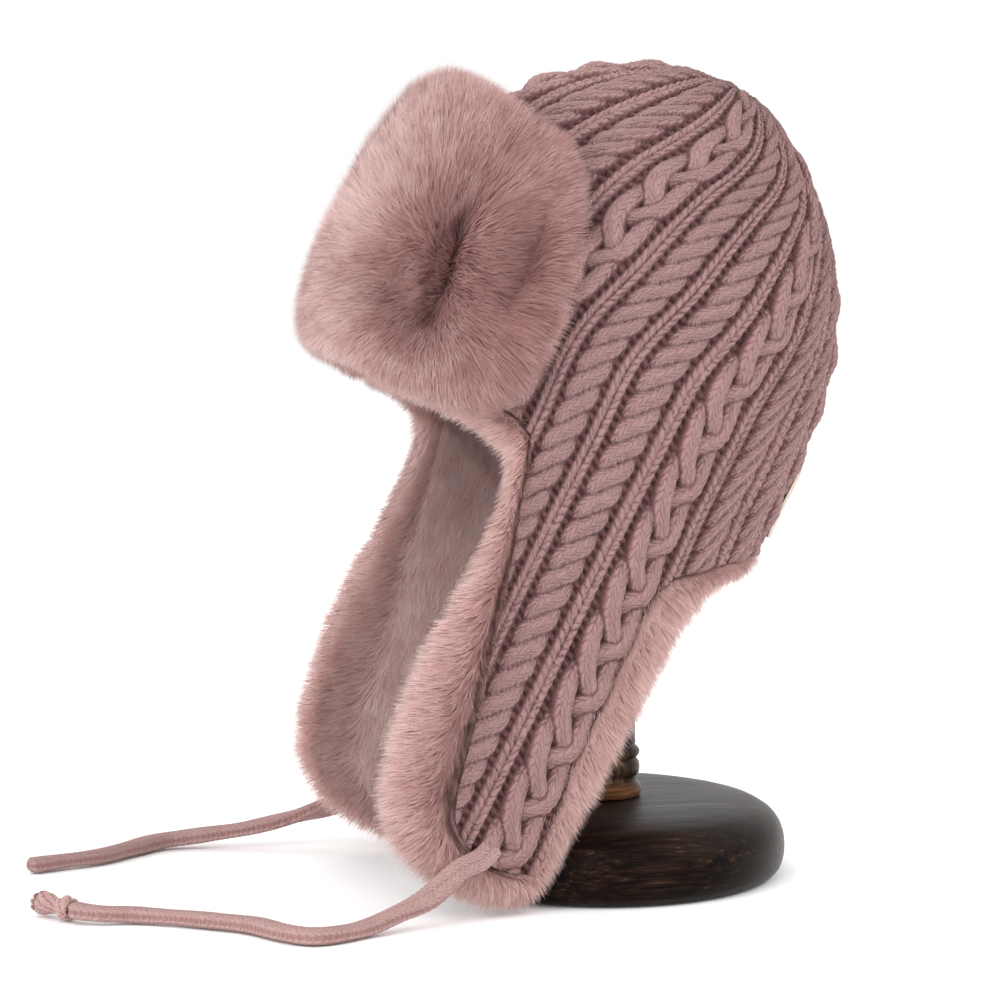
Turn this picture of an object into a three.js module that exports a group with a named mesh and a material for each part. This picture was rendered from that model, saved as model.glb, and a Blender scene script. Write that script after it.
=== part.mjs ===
// Earflap hat in cable knit and deep fur, on a turned wooden hat stand.
// Millimetres, +Z up, the wearer looks along -Y. The origin is the centre of the stand's underside.
// The hat is drawn in a frame of its own: it hangs from the gathered point of its crown, its third axis runs up
// through that point, and a depth is measured down from it. Angles run round the hat from -90 at the brow, by 0
// over the ear, to 90 at the nape, and the other half is the mirror image.
import * as THREE from "three";
import { mergeVertices } from "three/addons/utils/BufferGeometryUtils.js";

// Driving dimensions of the hat
const TILT = THREE.MathUtils.degToRad(24);
const CROWN_POINT = [0, 78, 383];
const KNIT_THICK = 5;
const LINING_GAP = 0.8;
const FUR_DEEP = { head: 11, tip: 7, from: 290, to: 370 };
const CORE_DEPTH = 100;
const ROUND_TOP_RUN = 80;

// Level sections of the knit, as half-axes of an ellipse: its front and back reach, and half its width
const SECTIONS = [
  { depth: 0, front: -5, back: -5, half: 0 },
  { depth: 2.6, front: -39, back: 1, half: 28 },
  { depth: 10, front: -64.5, back: 14, half: 51 },
  { depth: 28, front: -99, back: 41.5, half: 72 },
  { depth: 55, front: -121, back: 65, half: 84 },
  { depth: 100, front: -135, back: 85, half: 92 },
  { depth: 150, front: -139, back: 90, half: 93 },
  { depth: 190, front: -132, back: 88, half: 92 },
  { depth: 300, front: -130, back: 90, half: 90 },
  { depth: 420, front: -130, back: 92, half: 89 },
];

// The crown's middle is domed up by this much, fading out at a depth
const DOMED = { high: 4.4, depth: 30 };

// Depths between which the ear flaps turn from round to flat
const FLAT = { from: 200, to: 300 };

// How far a column of stitches has turned towards the nape over the ear, in degrees, at each depth
const DRIFT = [
  { depth: 0, turn: 50 },
  { depth: 20, turn: 41 },
  { depth: 40, turn: 30 },
  { depth: 55, turn: 22 },
  { depth: 75, turn: 15 },
  { depth: 96, turn: 10 },
  { depth: 150, turn: 0 },
  { depth: 385, turn: -10 },
];

// Columns of the knit from brow to nape. Each starts at a rib of plain stitches, and holds one cable.
const COLUMNS = [
  { start: -102.5, cable: "braid" },
  { start: -77.5, cable: "rope" },
  { start: -59.5, cable: "rope" },
  { start: -41.5, cable: "braid" },
  { start: -22, cable: "rope" },
  { start: -7, cable: "rope" },
  { start: 9.5, cable: "braid" },
  { start: 30, cable: "rope" },
  { start: 46, cable: "rope" },
  { start: 62, cable: "braid" },
  { start: 81.5, cable: "rope" },
  { start: 98.5, cable: "rope" },
];
const RIB_HIGH = 1.2;
const PUCKER = 1.5;
const CABLES = {
  braid: { high: 3.2, wave: 0.8, pitch: 26 },
  rope: { high: 2.4, wave: 0.5, pitch: 13 },
};

// The hem from brow to nape: where the knit ends, where the fur beyond it ends, and how proud that fur stands
const EDGE = [
  { knit: -90, knitDepth: 185, fur: -90, furDepth: 200, puff: -3 },
  { knit: -54.5, knitDepth: 186, fur: -57, furDepth: 199.5, puff: -3 },
  { knit: -28.5, knitDepth: 190, fur: -41.5, furDepth: 200, puff: -1 },
  { knit: -22, knitDepth: 196, fur: -26, furDepth: 212, puff: 2 },
  { knit: -15.7, knitDepth: 232, fur: -22, furDepth: 242, puff: 4 },
  { knit: -10.2, knitDepth: 269, fur: -23.2, furDepth: 275, puff: 5 },
  { knit: -2.7, knitDepth: 327, fur: -26.4, furDepth: 325, puff: 5 },
  { knit: 2.7, knitDepth: 371, fur: -20, furDepth: 378, puff: 4 },
  { knit: 9, knitDepth: 386, fur: -3, furDepth: 405, puff: 3 },
  { knit: 17, knitDepth: 392, fur: 16.3, furDepth: 412, puff: 2 },
  { knit: 25.5, knitDepth: 391, fur: 30.6, furDepth: 406, puff: 1 },
  { knit: 29.5, knitDepth: 382, fur: 35.6, furDepth: 388, puff: 0 },
  { knit: 27, knitDepth: 328, fur: 39, furDepth: 335, puff: 0 },
  { knit: 27, knitDepth: 290, fur: 41, furDepth: 297, puff: 0 },
  { knit: 27, knitDepth: 255, fur: 44, furDepth: 265, puff: 0 },
  { knit: 30, knitDepth: 232, fur: 46.5, furDepth: 248, puff: 0 },
  { knit: 43.5, knitDepth: 219, fur: 50, furDepth: 234, puff: 0 },
  { knit: 61, knitDepth: 209, fur: 63.3, furDepth: 221, puff: 1 },
  { knit: 90, knitDepth: 199, fur: 90, furDepth: 215, puff: 4 },
];
const FLAP_START = 3;
const FLAP_TIP_START = 8;
const FLAP_TIP_END = 11;
const FLAP_END = 15;

// The turned-up brow flap, from its end above the ear to the middle of the brow
const BROW_FLAP = [
  { angle: -22.5, top: 130, bottom: 160, thick: 5 },
  { angle: -25, top: 108, bottom: 178, thick: 16 },
  { angle: -30, top: 84, bottom: 189, thick: 24 },
  { angle: -38, top: 68, bottom: 195, thick: 28 },
  { angle: -46, top: 59, bottom: 197, thick: 31 },
  { angle: -56, top: 55, bottom: 197, thick: 33 },
  { angle: -66, top: 50, bottom: 196, thick: 36 },
  { angle: -78, top: 47, bottom: 194, thick: 38 },
  { angle: -90, top: 46, bottom: 193, thick: 39 },
];
const BROW_GAP = 4.6;
const BROW_LEAN = { top: -12, bottom: 1 };
const BROW_FACE_DEPTH = 125;
const BROW_SQUARENESS = 0.75;
const BROW_DENTS = [
  { angle: -54, depth: 148, wide: 13, tall: 34, deep: 9 },
  { angle: -36, depth: 108, wide: 6, tall: 26, deep: 6 },
];
const LOCK_HIGH = 1.4;

// Mesh steps: rows down the crown and down an ear flap, points along the hem, and points round a brow flap section
const CROWN_ROWS = 24;
const FLAP_ROWS = 12;
const HEM_STEPS = 56;
const BROW_STEPS = 13;
const BROW_RING = 18;

// The two ties: flat knitted cords. Their routes are in the world frame, from the flap to the free end.
const TIE_WIDE = 9;
const TIE_STEPS = 34;
const TIE_SIDES = 8;
const TIE_FLOOR = TIE_WIDE / 2 + 0.3;

// The woven tag on the nape
const TAG = { from: 76, to: 104, top: 157, bottom: 194, stand: 3.4, thick: 1.6 };

// The stand
const BASE_PROFILE = [
  [0, 0], [85, 0], [89.5, 2.2], [92.4, 8], [93, 15.5], [91.6, 23.5], [87.5, 30], [79.5, 35.4], [65, 38.3], [0, 39],
];
const STEM_TOP = 304;
const STEM_PROFILE = [
  [0, 39.3], [20, 39.3], [20.2, 45], [19, 47.5], [18.2, 50.6], [19.6, 53], [18.4, 56.5], [19.6, 60], [18, 64],
  [17.6, 70], [17.2, 180], [16.8, STEM_TOP], [0, STEM_TOP],
];
const DOME_RADIUS = 60;
const DOME_UNDERSIDE = STEM_TOP + 0.3;
const DOME_TOP = 382.7;
const TURNED_SIDES = 28;

const KNIT = new THREE.MeshStandardMaterial({ color: "#b58d89", roughness: 0.95, metalness: 0, name: "knit" });
const FUR = new THREE.MeshStandardMaterial({ color: "#c29b96", roughness: 0.9, metalness: 0, name: "fur" });
const WOOD = new THREE.MeshStandardMaterial({ color: "#3b2a22", roughness: 0.45, metalness: 0, name: "wood" });
const TAPE = new THREE.MeshStandardMaterial({ color: "#d6cebb", roughness: 0.8, metalness: 0, name: "tag" });

const { lerp, degToRad, smoothstep } = THREE.MathUtils;

// Value of one column of a table at x, along a smooth curve through its rows; `along` gives a row's place.
function smooth(rows, column, x, along) {
  const at = rows.map(along);
  const last = rows.length - 1;
  let i = 0;
  while (i < last - 1 && x > at[i + 1]) i += 1;
  const slope = (k) => {
    const a = Math.max(0, k - 1);
    const b = Math.min(last, k + 1);
    return (rows[b][column] - rows[a][column]) / (at[b] - at[a]);
  };
  const run = at[i + 1] - at[i];
  const t = Math.min(1, Math.max(0, (x - at[i]) / run));
  const [p, q] = [rows[i][column], rows[i + 1][column]];
  const [m, n] = [slope(i) * run, slope(i + 1) * run];
  return p + t * (m + t * (3 * (q - p) - 2 * m - n + t * (2 * (p - q) + m + n)));
}

const rootDepth = (row) => Math.sqrt(row.depth);
const rowNumber = (rows) => (row) => rows.indexOf(row);

// The knit's ellipse at a depth.
function sectionAt(depth) {
  const x = Math.sqrt(depth);
  const front = smooth(SECTIONS, "front", x, rootDepth);
  const back = smooth(SECTIONS, "back", x, rootDepth);
  const half = smooth(SECTIONS, "half", x, rootDepth);
  const power = 2 + smoothstep(depth, FLAT.from, FLAT.to);
  return { middle: (front + back) / 2, long: (back - front) / 2, half, power };
}

// Distance of a section from the middle plane of the head, at an angle round it.
const sideways = (s, angle) =>
  Math.sign(Math.cos(angle)) * s.half * (1 - Math.abs(Math.sin(angle)) ** s.power) ** (1 / s.power);

// Angle round the hat, in radians, of the stitch column that is at `column` degrees where the crown is widest.
function turned(column, depth) {
  const turn = smooth(DRIFT, "turn", depth, (row) => row.depth);
  return degToRad(column + turn * Math.cos(degToRad(column)));
}

const CORE = new THREE.Vector3(0, sectionAt(CORE_DEPTH).middle, -CORE_DEPTH);

// Point on the hat at an angle and a depth, moved `out` away from the head.
function onHat(angle, depth, out) {
  const s = sectionAt(depth);
  const rise = DOMED.high * (1 - smoothstep(depth, 0, DOMED.depth));
  const p = new THREE.Vector3(sideways(s, angle), s.middle + s.long * Math.sin(angle), rise - depth);
  const core = depth < CORE_DEPTH ? CORE : new THREE.Vector3(0, s.middle, -depth);
  return p.add(p.clone().sub(core).normalize().multiplyScalar(out));
}

const onColumn = (column, depth, out) => onHat(turned(column, depth), depth, out);

// Stitch columns sampled from brow to nape: a rib, a groove, the cable's middle and a groove in each.
function columnSamples() {
  const samples = [];
  COLUMNS.slice(0, -1).forEach((c, i) => {
    const wide = COLUMNS[i + 1].start - c.start;
    samples.push({ column: c.start, part: "rib" }, { column: c.start + 0.22 * wide, part: "groove" });
    samples.push({ column: c.start + 0.5 * wide, part: c.cable }, { column: c.start + 0.78 * wide, part: "groove" });
  });
  return samples.filter((s) => s.column >= -90 && s.column <= 90);
}
const SAMPLES = columnSamples();
const FLAP_FIRST = SAMPLES.findIndex((s) => s.column === EDGE[FLAP_START].knit);
const FLAP_LAST = SAMPLES.findIndex((s) => s.column === EDGE[FLAP_END].knit);

// How far a stitch column stands out of the knit's mean surface.
function relief(part, depth) {
  if (part === "groove") return 0;
  if (part === "rib") return RIB_HIGH;
  const cable = CABLES[part];
  return cable.high + cable.wave * Math.cos((2 * Math.PI * depth) / cable.pitch);
}

// A place on the hem, from 0 at the brow to the last row's number at the nape: `side` is "knit" or "fur".
function onEdge(side, s) {
  return {
    column: smooth(EDGE, side, s, rowNumber(EDGE)),
    depth: smooth(EDGE, side + "Depth", s, rowNumber(EDGE)),
  };
}

// Depth of the hem, or of an ear flap's root, below a stitch column.
function hemDepth(column) {
  const [a, b] = [EDGE[FLAP_START], EDGE[FLAP_END]];
  if (column > a.knit && column < b.knit) {
    return lerp(a.knitDepth, b.knitDepth, (column - a.knit) / (b.knit - a.knit));
  }
  const rows = column <= a.knit ? EDGE.slice(0, FLAP_START + 1) : EDGE.slice(FLAP_END);
  return smooth(rows, "knitDepth", column, (row) => row.knit);
}

// Depth of a row of the crown: close together on the round top, then even.
function crownDepth(share, hem) {
  const run = share * (hem + ROUND_TOP_RUN / 2);
  return run < ROUND_TOP_RUN ? (run * run) / (2 * ROUND_TOP_RUN) : run - ROUND_TOP_RUN / 2;
}

// A place on an ear flap: `across` from its front edge to its back one, `down` from its root to its tip.
function onFlap(across, down) {
  const roots = [EDGE[FLAP_START].knit, EDGE[FLAP_END].knit];
  const column = lerp(roots[0], roots[1], across);
  const top = { column, depth: hemDepth(column) };
  const tip = onEdge("knit", lerp(FLAP_TIP_START, FLAP_TIP_END, across));
  const front = onEdge("knit", lerp(FLAP_START, FLAP_TIP_START, down));
  const back = onEdge("knit", lerp(FLAP_END, FLAP_TIP_END, down));
  const corners = [EDGE[FLAP_START], EDGE[FLAP_END], EDGE[FLAP_TIP_START], EDGE[FLAP_TIP_END]];
  const blend = (key, corner) => {
    const [a, b, c, d] = corners.map((row) => row[corner]);
    const sides = lerp(top[key], tip[key], down) + lerp(front[key], back[key], across);
    return sides - lerp(lerp(a, b, across), lerp(c, d, across), down);
  };
  return { column: blend("column", "knit"), depth: blend("depth", "knitDepth") };
}

// Rows of points over half the hat. `step` and `rowStep` thin out its columns and rows, and `out` gives the offsets.
function halfSheet(step, rowStep, out) {
  const samples = SAMPLES.filter((_, i) => i % step === 0);
  const crown = [];
  for (let k = rowStep; k <= CROWN_ROWS; k += rowStep) {
    crown.push(samples.map((s, i) => {
      const depth = crownDepth(k / CROWN_ROWS, hemDepth(s.column));
      return onColumn(s.column, depth, out(s.part, depth, i + k / rowStep));
    }));
  }
  const [first, last] = [FLAP_FIRST / step, FLAP_LAST / step];
  const hem = crown[crown.length - 1];
  const flap = [hem.slice(first, last + 1)];
  for (let k = rowStep; k <= FLAP_ROWS; k += rowStep) {
    const row = samples.slice(first, last + 1).map((s, i) => {
      const across = (s.column - EDGE[FLAP_START].knit) / (EDGE[FLAP_END].knit - EDGE[FLAP_START].knit);
      const place = onFlap(across, k / FLAP_ROWS);
      return onColumn(place.column, place.depth, out(s.part, place.depth, i + k / rowStep));
    });
    flap.push(row);
  }
  const tip = flap[flap.length - 1];
  const frontEdge = flap.slice(1, -1).map((row) => row[0]);
  const backEdge = flap.slice(1, -1).map((row) => row[row.length - 1]).reverse();
  const rim = [...hem.slice(0, first + 1), ...frontEdge, ...tip, ...backEdge, ...hem.slice(last)];
  return { pole: onHat(0, 0, out("pole", 0, 0)), crown, flap, rim };
}

// Joins two lines of points with a strip of triangles, matching them by their share of each line's length.
function strip(triangles, upper, lower) {
  const shares = (line) => {
    const at = [0];
    for (let i = 1; i < line.length; i += 1) at.push(at[i - 1] + line[i].distanceTo(line[i - 1]));
    return at.map((x) => x / at[at.length - 1]);
  };
  const even = upper.length === lower.length;
  const [a, b] = even ? [upper, lower].map((line) => line.map((_, i) => i)) : [shares(upper), shares(lower)];
  let i = 0;
  let j = 0;
  while (i < upper.length - 1 || j < lower.length - 1) {
    const takeUpper = j === lower.length - 1 || (i < upper.length - 1 && a[i + 1] <= b[j + 1]);
    if (takeUpper) {
      triangles.push([upper[i], lower[j], upper[i + 1]]);
      i += 1;
    } else {
      triangles.push([upper[i], lower[j], lower[j + 1]]);
      j += 1;
    }
  }
}

function strips(triangles, rows) {
  rows.slice(1).forEach((row, i) => strip(triangles, rows[i], row));
}

const fan = (triangles, centre, line) => line.slice(1).forEach((p, i) => triangles.push([centre, line[i], p]));

// Half a shell: the outer sheet, the bands round its edge, and the inner sheet.
function halfShell(outer, bands, inner) {
  const triangles = [];
  fan(triangles, outer.pole, outer.crown[0]);
  strips(triangles, outer.crown);
  strips(triangles, outer.flap);
  strips(triangles, [outer.rim, ...bands, inner.rim]);
  strips(triangles, [...inner.flap].reverse());
  strips(triangles, [...inner.crown].reverse());
  inner.crown[0].slice(1).forEach((p, i) => triangles.push([inner.crown[0][i], inner.pole, p]));
  return triangles;
}

// A closed mesh from half a body's triangles and their mirror image.
function mirrored(name, half, material) {
  const flip = (p) => new THREE.Vector3(-p.x, p.y, p.z);
  const whole = [...half, ...half.map(([a, b, c]) => [flip(a), flip(c), flip(b)])];
  return meshOf(name, whole, material);
}

function meshOf(name, triangles, material) {
  const solid = triangles.filter(([a, b, c]) => {
    const area = new THREE.Triangle(a, b, c).getArea();
    return area > 1e-6;
  });
  const loose = new THREE.BufferGeometry().setFromPoints(solid.flat());
  const geometry = mergeVertices(loose, 1e-3);
  geometry.computeVertexNormals();
  const mesh = new THREE.Mesh(geometry, material);
  mesh.name = name;
  return mesh;
}

// The cable-knit shell: crown and both ear flaps in one piece of knitting.
function knitShell() {
  const outer = halfSheet(1, 1, (part, depth) => (part === "pole" ? -PUCKER : relief(part, depth)));
  const inner = halfSheet(2, 2, () => -KNIT_THICK);
  return mirrored("knit_shell", halfShell(outer, [], inner), KNIT);
}

// The fur lining, and the fur border that shows beyond the knit all round the hem.
function furLining() {
  const outside = -KNIT_THICK - LINING_GAP;
  const inside = (depth) => {
    const low = smoothstep(depth, FUR_DEEP.from, FUR_DEEP.to);
    return outside - lerp(FUR_DEEP.head, FUR_DEEP.tip, low);
  };
  const lock = (count) => (count % 2 ? LOCK_HIGH / 2 : -LOCK_HIGH / 2);
  const outer = halfSheet(2, 2, () => outside);
  const inner = halfSheet(2, 4, (part, depth, count) => inside(depth) + (part === "pole" ? 0 : lock(count)));
  const profile = [
    { share: 0.08, out: () => outside },
    { share: 0.28, out: () => outside + 2 },
    { share: 0.42, out: (puff, tuft) => puff + tuft },
    { share: 0.74, out: (puff, tuft) => puff - tuft },
    { share: 1, out: () => -KNIT_THICK, tufted: 0.07 },
    { share: 0.8, out: (puff, tuft, depth) => inside(depth) + 2.5 + tuft },
    { share: 0.4, out: (puff, tuft, depth) => inside(depth) - tuft },
  ];
  const bands = profile.map((band) => {
    const line = [];
    for (let j = 0; j <= HEM_STEPS; j += 1) {
      const s = (j / HEM_STEPS) * (EDGE.length - 1);
      const [knit, fur] = [onEdge("knit", s), onEdge("fur", s)];
      if (s < FLAP_START || s > FLAP_END) knit.depth = hemDepth(knit.column);
      const tuft = lock(j) * 2;
      const share = band.share + (band.tufted ? band.tufted * Math.sign(tuft) : 0);
      const puff = smooth(EDGE, "puff", s, rowNumber(EDGE));
      const column = lerp(knit.column, fur.column, share);
      const depth = lerp(knit.depth, fur.depth, share);
      line.push(onColumn(column, depth, band.out(puff, tuft, depth)));
    }
    return line;
  });
  return mirrored("fur_lining", halfShell(outer, bands, inner), FUR);
}

// The brow flap: a deep fur pad, turned up over the brow and lying against the knit.
function browFlap() {
  const squared = (x) => Math.sign(x) * Math.abs(x) ** BROW_SQUARENESS;
  const dent = (angle, depth) => BROW_DENTS.reduce((sum, d) => {
    const away = ((angle - d.angle) / d.wide) ** 2 + ((depth - d.depth) / d.tall) ** 2;
    return sum + d.deep * Math.exp(-away);
  }, 0);
  const level = (angle, depth, faceDepth, out) => {
    const s = sectionAt(faceDepth);
    const [x, y] = [s.half * Math.cos(angle), s.long * Math.sin(angle)];
    const grown = 1 + out / Math.hypot(x, y);
    return new THREE.Vector3(x * grown, s.middle + y * grown, -depth);
  };
  const rings = [];
  for (let i = 0; i < BROW_STEPS; i += 1) {
    const row = ((BROW_FLAP.length - 1) * i) / (BROW_STEPS - 1);
    const [angle, top, bottom, thick] = ["angle", "top", "bottom", "thick"].map((key) =>
      smooth(BROW_FLAP, key, row, rowNumber(BROW_FLAP)));
    const ring = [];
    for (let j = 0; j < BROW_RING; j += 1) {
      const turn = (2 * Math.PI * j) / BROW_RING;
      const outward = (1 + squared(Math.sin(turn))) / 2;
      const depth = (top + bottom) / 2 - ((bottom - top) / 2) * squared(Math.cos(turn));
      const lock = (i + j) % 2 ? LOCK_HIGH : -LOCK_HIGH;
      const inner = level(degToRad(angle), depth, depth, BROW_GAP);
      const lean = lerp(BROW_LEAN.top, BROW_LEAN.bottom, (depth - top) / (bottom - top)) * Math.min(1, thick / 42);
      const face = thick + lean + BROW_GAP + (outward > 0.5 ? lock - dent(angle, depth) : 0);
      ring.push(inner.lerp(level(degToRad(angle), depth, BROW_FACE_DEPTH, face), outward));
    }
    ring.push(ring[0]);
    rings.push(ring);
  }
  const triangles = [];
  const end = rings[0].slice(1).reduce((sum, p) => sum.add(p), new THREE.Vector3()).divideScalar(BROW_RING);
  fan(triangles, end, rings[0]);
  strips(triangles, rings);
  return mirrored("brow_flap", triangles, FUR);
}

// The tag: a flat woven label that lies over the ribs at the nape.
function tag() {
  const across = [0, 0.25, 0.5, 0.75, 1].map((t) => degToRad(lerp(TAG.from, TAG.to, t)));
  const face = (out) => [TAG.top, TAG.bottom].map((depth) => across.map((angle) => onHat(angle, depth, out)));
  const [outer, inner] = [face(TAG.stand + TAG.thick), face(TAG.stand)];
  const triangles = [];
  strips(triangles, [outer[0], outer[1], inner[1], inner[0], outer[0]]);
  const side = (i) => [outer[0][i], outer[1][i], inner[1][i], inner[0][i]];
  const [a, b] = [side(0), side(across.length - 1)];
  triangles.push([a[0], a[2], a[1]], [a[0], a[3], a[2]], [b[0], b[1], b[2]], [b[0], b[2], b[3]]);
  return meshOf("nape_tag", triangles, TAPE);
}

// A tie: a cord of flattened section swept along its route.
function tie(name, route) {
  const section = new THREE.Shape();
  section.absellipse(0, 0, TIE_WIDE / 2, TIE_WIDE / 2, 0, 2 * Math.PI);
  const path = new THREE.CatmullRomCurve3(route, false, "centripetal");
  const options = { steps: TIE_STEPS, curveSegments: TIE_SIDES / 2, bevelEnabled: false, extrudePath: path };
  const mesh = new THREE.Mesh(new THREE.ExtrudeGeometry(section, options), KNIT);
  mesh.name = name;
  return mesh;
}

// A piece turned on a lathe about the vertical axis.
function turnedPiece(name, profile, sides, material) {
  const points = profile.map(([r, z]) => new THREE.Vector2(r, z));
  const mesh = new THREE.Mesh(new THREE.LatheGeometry(points, sides), material);
  mesh.rotation.x = Math.PI / 2;
  mesh.name = name;
  return mesh;
}

const hat = new THREE.Group();
hat.position.set(...CROWN_POINT);
hat.rotation.x = -TILT;
hat.add(knitShell(), furLining(), browFlap(), tag());
hat.updateMatrixWorld(true);

// Where a tie is sewn on: on the face of the knit at the front corner of a flap's tip, then over the fur border.
const fromFlap = (side, places) => places.map(([column, depth, out]) => {
  const p = onColumn(column, depth, out).applyMatrix4(hat.matrixWorld);
  return new THREE.Vector3(p.x * side, p.y, p.z);
});
const onFloor = (places) => places.map(([x, y, rise]) => new THREE.Vector3(x, y, TIE_FLOOR + rise));

const LEFT_TIE_ROUTE = [
  ...fromFlap(1, [[17, 382, 6.7], [14, 391, 7.8]]),
  ...onFloor([
    [97.4, -102.8, 21.8], [101, -119, 10.5], [104, -135, 4.6], [108, -151, 0.2], [116, -167, 0], [117, -180, 0],
    [107, -190, 0], [87, -201, 0], [73, -216, 0], [59, -234, 0], [49, -252, 0.2], [47, -265, 1], [42.5, -274, 1.7], [37, -278, 1.9],
  ]),
];
const RIGHT_TIE_ROUTE = [
  ...fromFlap(-1, [[17, 382, 6.7], [14, 391, 7.8]]),
  ...onFloor([
    [-97.6, -102.8, 21.8], [-98.2, -114, 16.6], [-99, -128, 13], [-101, -144, 9.1], [-105, -160, 5.5], [-110, -176, 3],
    [-113, -190, 1.2], [-112, -204, 0.2], [-99, -222, 0], [-86, -240, 0], [-80, -260, 0], [-74, -279, 0],
  ]),
];

// The knot near the left tie's end, with the flared tail beyond it, in line with the tie's last stretch.
function tieKnot(route) {
  const profile = [[0, 0.3], [4.4, 0.3], [6.4, 2.2], [6.4, 6], [4, 8.4], [4.8, 12.5], [5.4, 17], [4.6, 20], [0, 20.4]];
  const mesh = turnedPiece("tie_knot_left", profile, 12, KNIT);
  const [before, end] = route.slice(-2);
  const along = end.clone().sub(before).normalize();
  mesh.quaternion.setFromUnitVectors(new THREE.Vector3(0, 1, 0), new THREE.Vector3(along.x, along.y, 0.02).normalize());
  mesh.position.copy(end);
  return mesh;
}

const part = new THREE.Group();
part.add(hat);
part.add(tie("tie_left", LEFT_TIE_ROUTE), tie("tie_right", RIGHT_TIE_ROUTE), tieKnot(LEFT_TIE_ROUTE));
part.add(turnedPiece("stand_base", BASE_PROFILE, TURNED_SIDES, WOOD));
part.add(turnedPiece("stand_stem", STEM_PROFILE, 16, WOOD));
const domeProfile = [[0, DOME_UNDERSIDE]];
for (let i = 0; i <= 6; i += 1) {
  const rise = (i / 6) * (Math.PI / 2);
  domeProfile.push([DOME_RADIUS * Math.cos(rise), lerp(DOME_UNDERSIDE + 8, DOME_TOP, Math.sin(rise))]);
}
domeProfile.splice(1, 0, [DOME_RADIUS - 4, DOME_UNDERSIDE]);
part.add(turnedPiece("stand_dome", domeProfile, 24, WOOD));

export default part;
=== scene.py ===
"""Earflap hat in cable knit and deep fur, on a turned wooden stand.

Lengths in the tables are millimetres and angles are degrees. The hat is drawn in its own frame: it hangs
from the gathered point of its crown, a depth is measured down from there, and an angle runs round the head
from -90 at the brow, by 0 over the ear, to 90 at the nape. The wearer's right half mirrors the left.
"""
from __future__ import annotations

import logging
import math
from dataclasses import dataclass, field
from enum import Enum
from typing import Any

import bmesh
import bpy
import numpy as np
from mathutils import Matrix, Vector


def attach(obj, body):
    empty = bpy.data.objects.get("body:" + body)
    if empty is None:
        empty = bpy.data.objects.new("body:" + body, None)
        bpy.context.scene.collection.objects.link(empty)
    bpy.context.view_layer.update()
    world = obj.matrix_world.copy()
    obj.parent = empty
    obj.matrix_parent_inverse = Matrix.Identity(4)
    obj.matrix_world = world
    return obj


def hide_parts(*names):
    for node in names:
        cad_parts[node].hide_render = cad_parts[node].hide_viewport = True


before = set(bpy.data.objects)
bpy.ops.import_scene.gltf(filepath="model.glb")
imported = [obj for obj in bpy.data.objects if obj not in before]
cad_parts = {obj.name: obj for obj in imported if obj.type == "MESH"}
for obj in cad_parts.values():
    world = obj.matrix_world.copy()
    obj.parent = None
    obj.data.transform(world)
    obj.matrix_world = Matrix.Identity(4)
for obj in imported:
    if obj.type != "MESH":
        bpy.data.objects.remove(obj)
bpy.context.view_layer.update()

LOG = logging.getLogger("earflap_hat")
MM = 0.001
Array = np.ndarray

# Level sections of the knit: the reach of its front and back, and half its width, at some depths
SECTIONS = {
    "depth": [0, 2.6, 10, 28, 55, 100, 150, 190, 300, 420],
    "front": [-5, -39, -64.5, -99, -121, -135, -139, -132, -130, -130],
    "back": [-5, 1, 14, 41.5, 65, 85, 90, 88, 90, 92],
    "half": [0, 28, 51, 72, 84, 92, 93, 92, 90, 89],
}
# How far a column of stitches has turned towards the nape over the ear at each depth
DRIFT = {
    "depth": [0, 20, 40, 55, 75, 96, 150, 385],
    "turn": [50, 41, 30, 22, 15, 10, 0, -10],
}
# The hem from brow to nape: where the knit ends, where the fur beyond it ends, and how proud that fur stands
EDGE = {
    "knit": [
        -90, -54.5, -28.5, -22, -15.7, -10.2, -2.7, 2.7, 9, 17, 25.5, 29.5, 27, 27, 27, 30, 43.5, 61, 90
    ],
    "knit_depth": [
        185, 186, 190, 196, 232, 269, 327, 371, 386, 392, 391, 382, 328, 290, 255, 232, 219, 209, 199
    ],
    "fur": [
        -90, -57, -41.5, -26, -22, -23.2, -26.4, -20, -3, 16.3, 30.6, 35.6, 39, 41, 44, 46.5, 50, 63.3, 90
    ],
    "fur_depth": [
        200, 199.5, 200, 212, 242, 275, 325, 378, 405, 412, 406, 388, 335, 297, 265, 248, 234, 221, 215
    ],
    "puff": [-3, -3, -1, 2, 4, 5, 5, 4, 3, 2, 1, 0, 0, 0, 0, 0, 0, 1, 4],
}
# Rows of that table where the ear flap and its tip start and end
FLAP_START, TIP_START, TIP_END, FLAP_END = 3, 8, 11, 15
# The turned-up brow flap, from its end above the ear to the middle of the brow
BROW = {
    "angle": [-22.5, -25, -30, -38, -46, -56, -66, -78, -90],
    "top": [130, 108, 84, 68, 59, 55, 50, 47, 46],
    "bottom": [160, 178, 189, 195, 197, 197, 196, 194, 193],
    "thick": [5, 16, 24, 28, 31, 33, 36, 38, 39],
}


# The ties' centrelines, from the seam on the flap to the free end
LEFT_ROUTE = (
    (97.4, -102.8, 26.6), (101, -119, 15.3), (104, -135, 9.4), (108, -151, 5.0), (116, -167, 4.8),
    (117, -180, 4.8), (107, -190, 4.8), (87, -201, 4.8), (73, -216, 4.8), (59, -234, 4.8),
    (49, -252, 5.0), (47, -265, 5.8), (42.5, -274, 6.5), (37, -278, 6.7),
)
RIGHT_ROUTE = (
    (-97.6, -102.8, 26.6), (-98.2, -114, 21.4), (-99, -128, 17.8), (-101, -144, 13.9), (-105, -160, 10.3),
    (-110, -176, 7.8), (-113, -190, 6.0), (-112, -204, 5.0), (-99, -222, 4.8), (-86, -240, 4.8),
    (-80, -260, 4.8), (-74, -279, 4.8),
)


class Cable(Enum):
    """The two kinds of cable between the ribs."""

    ROPE = "rope"
    BRAID = "braid"


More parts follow.
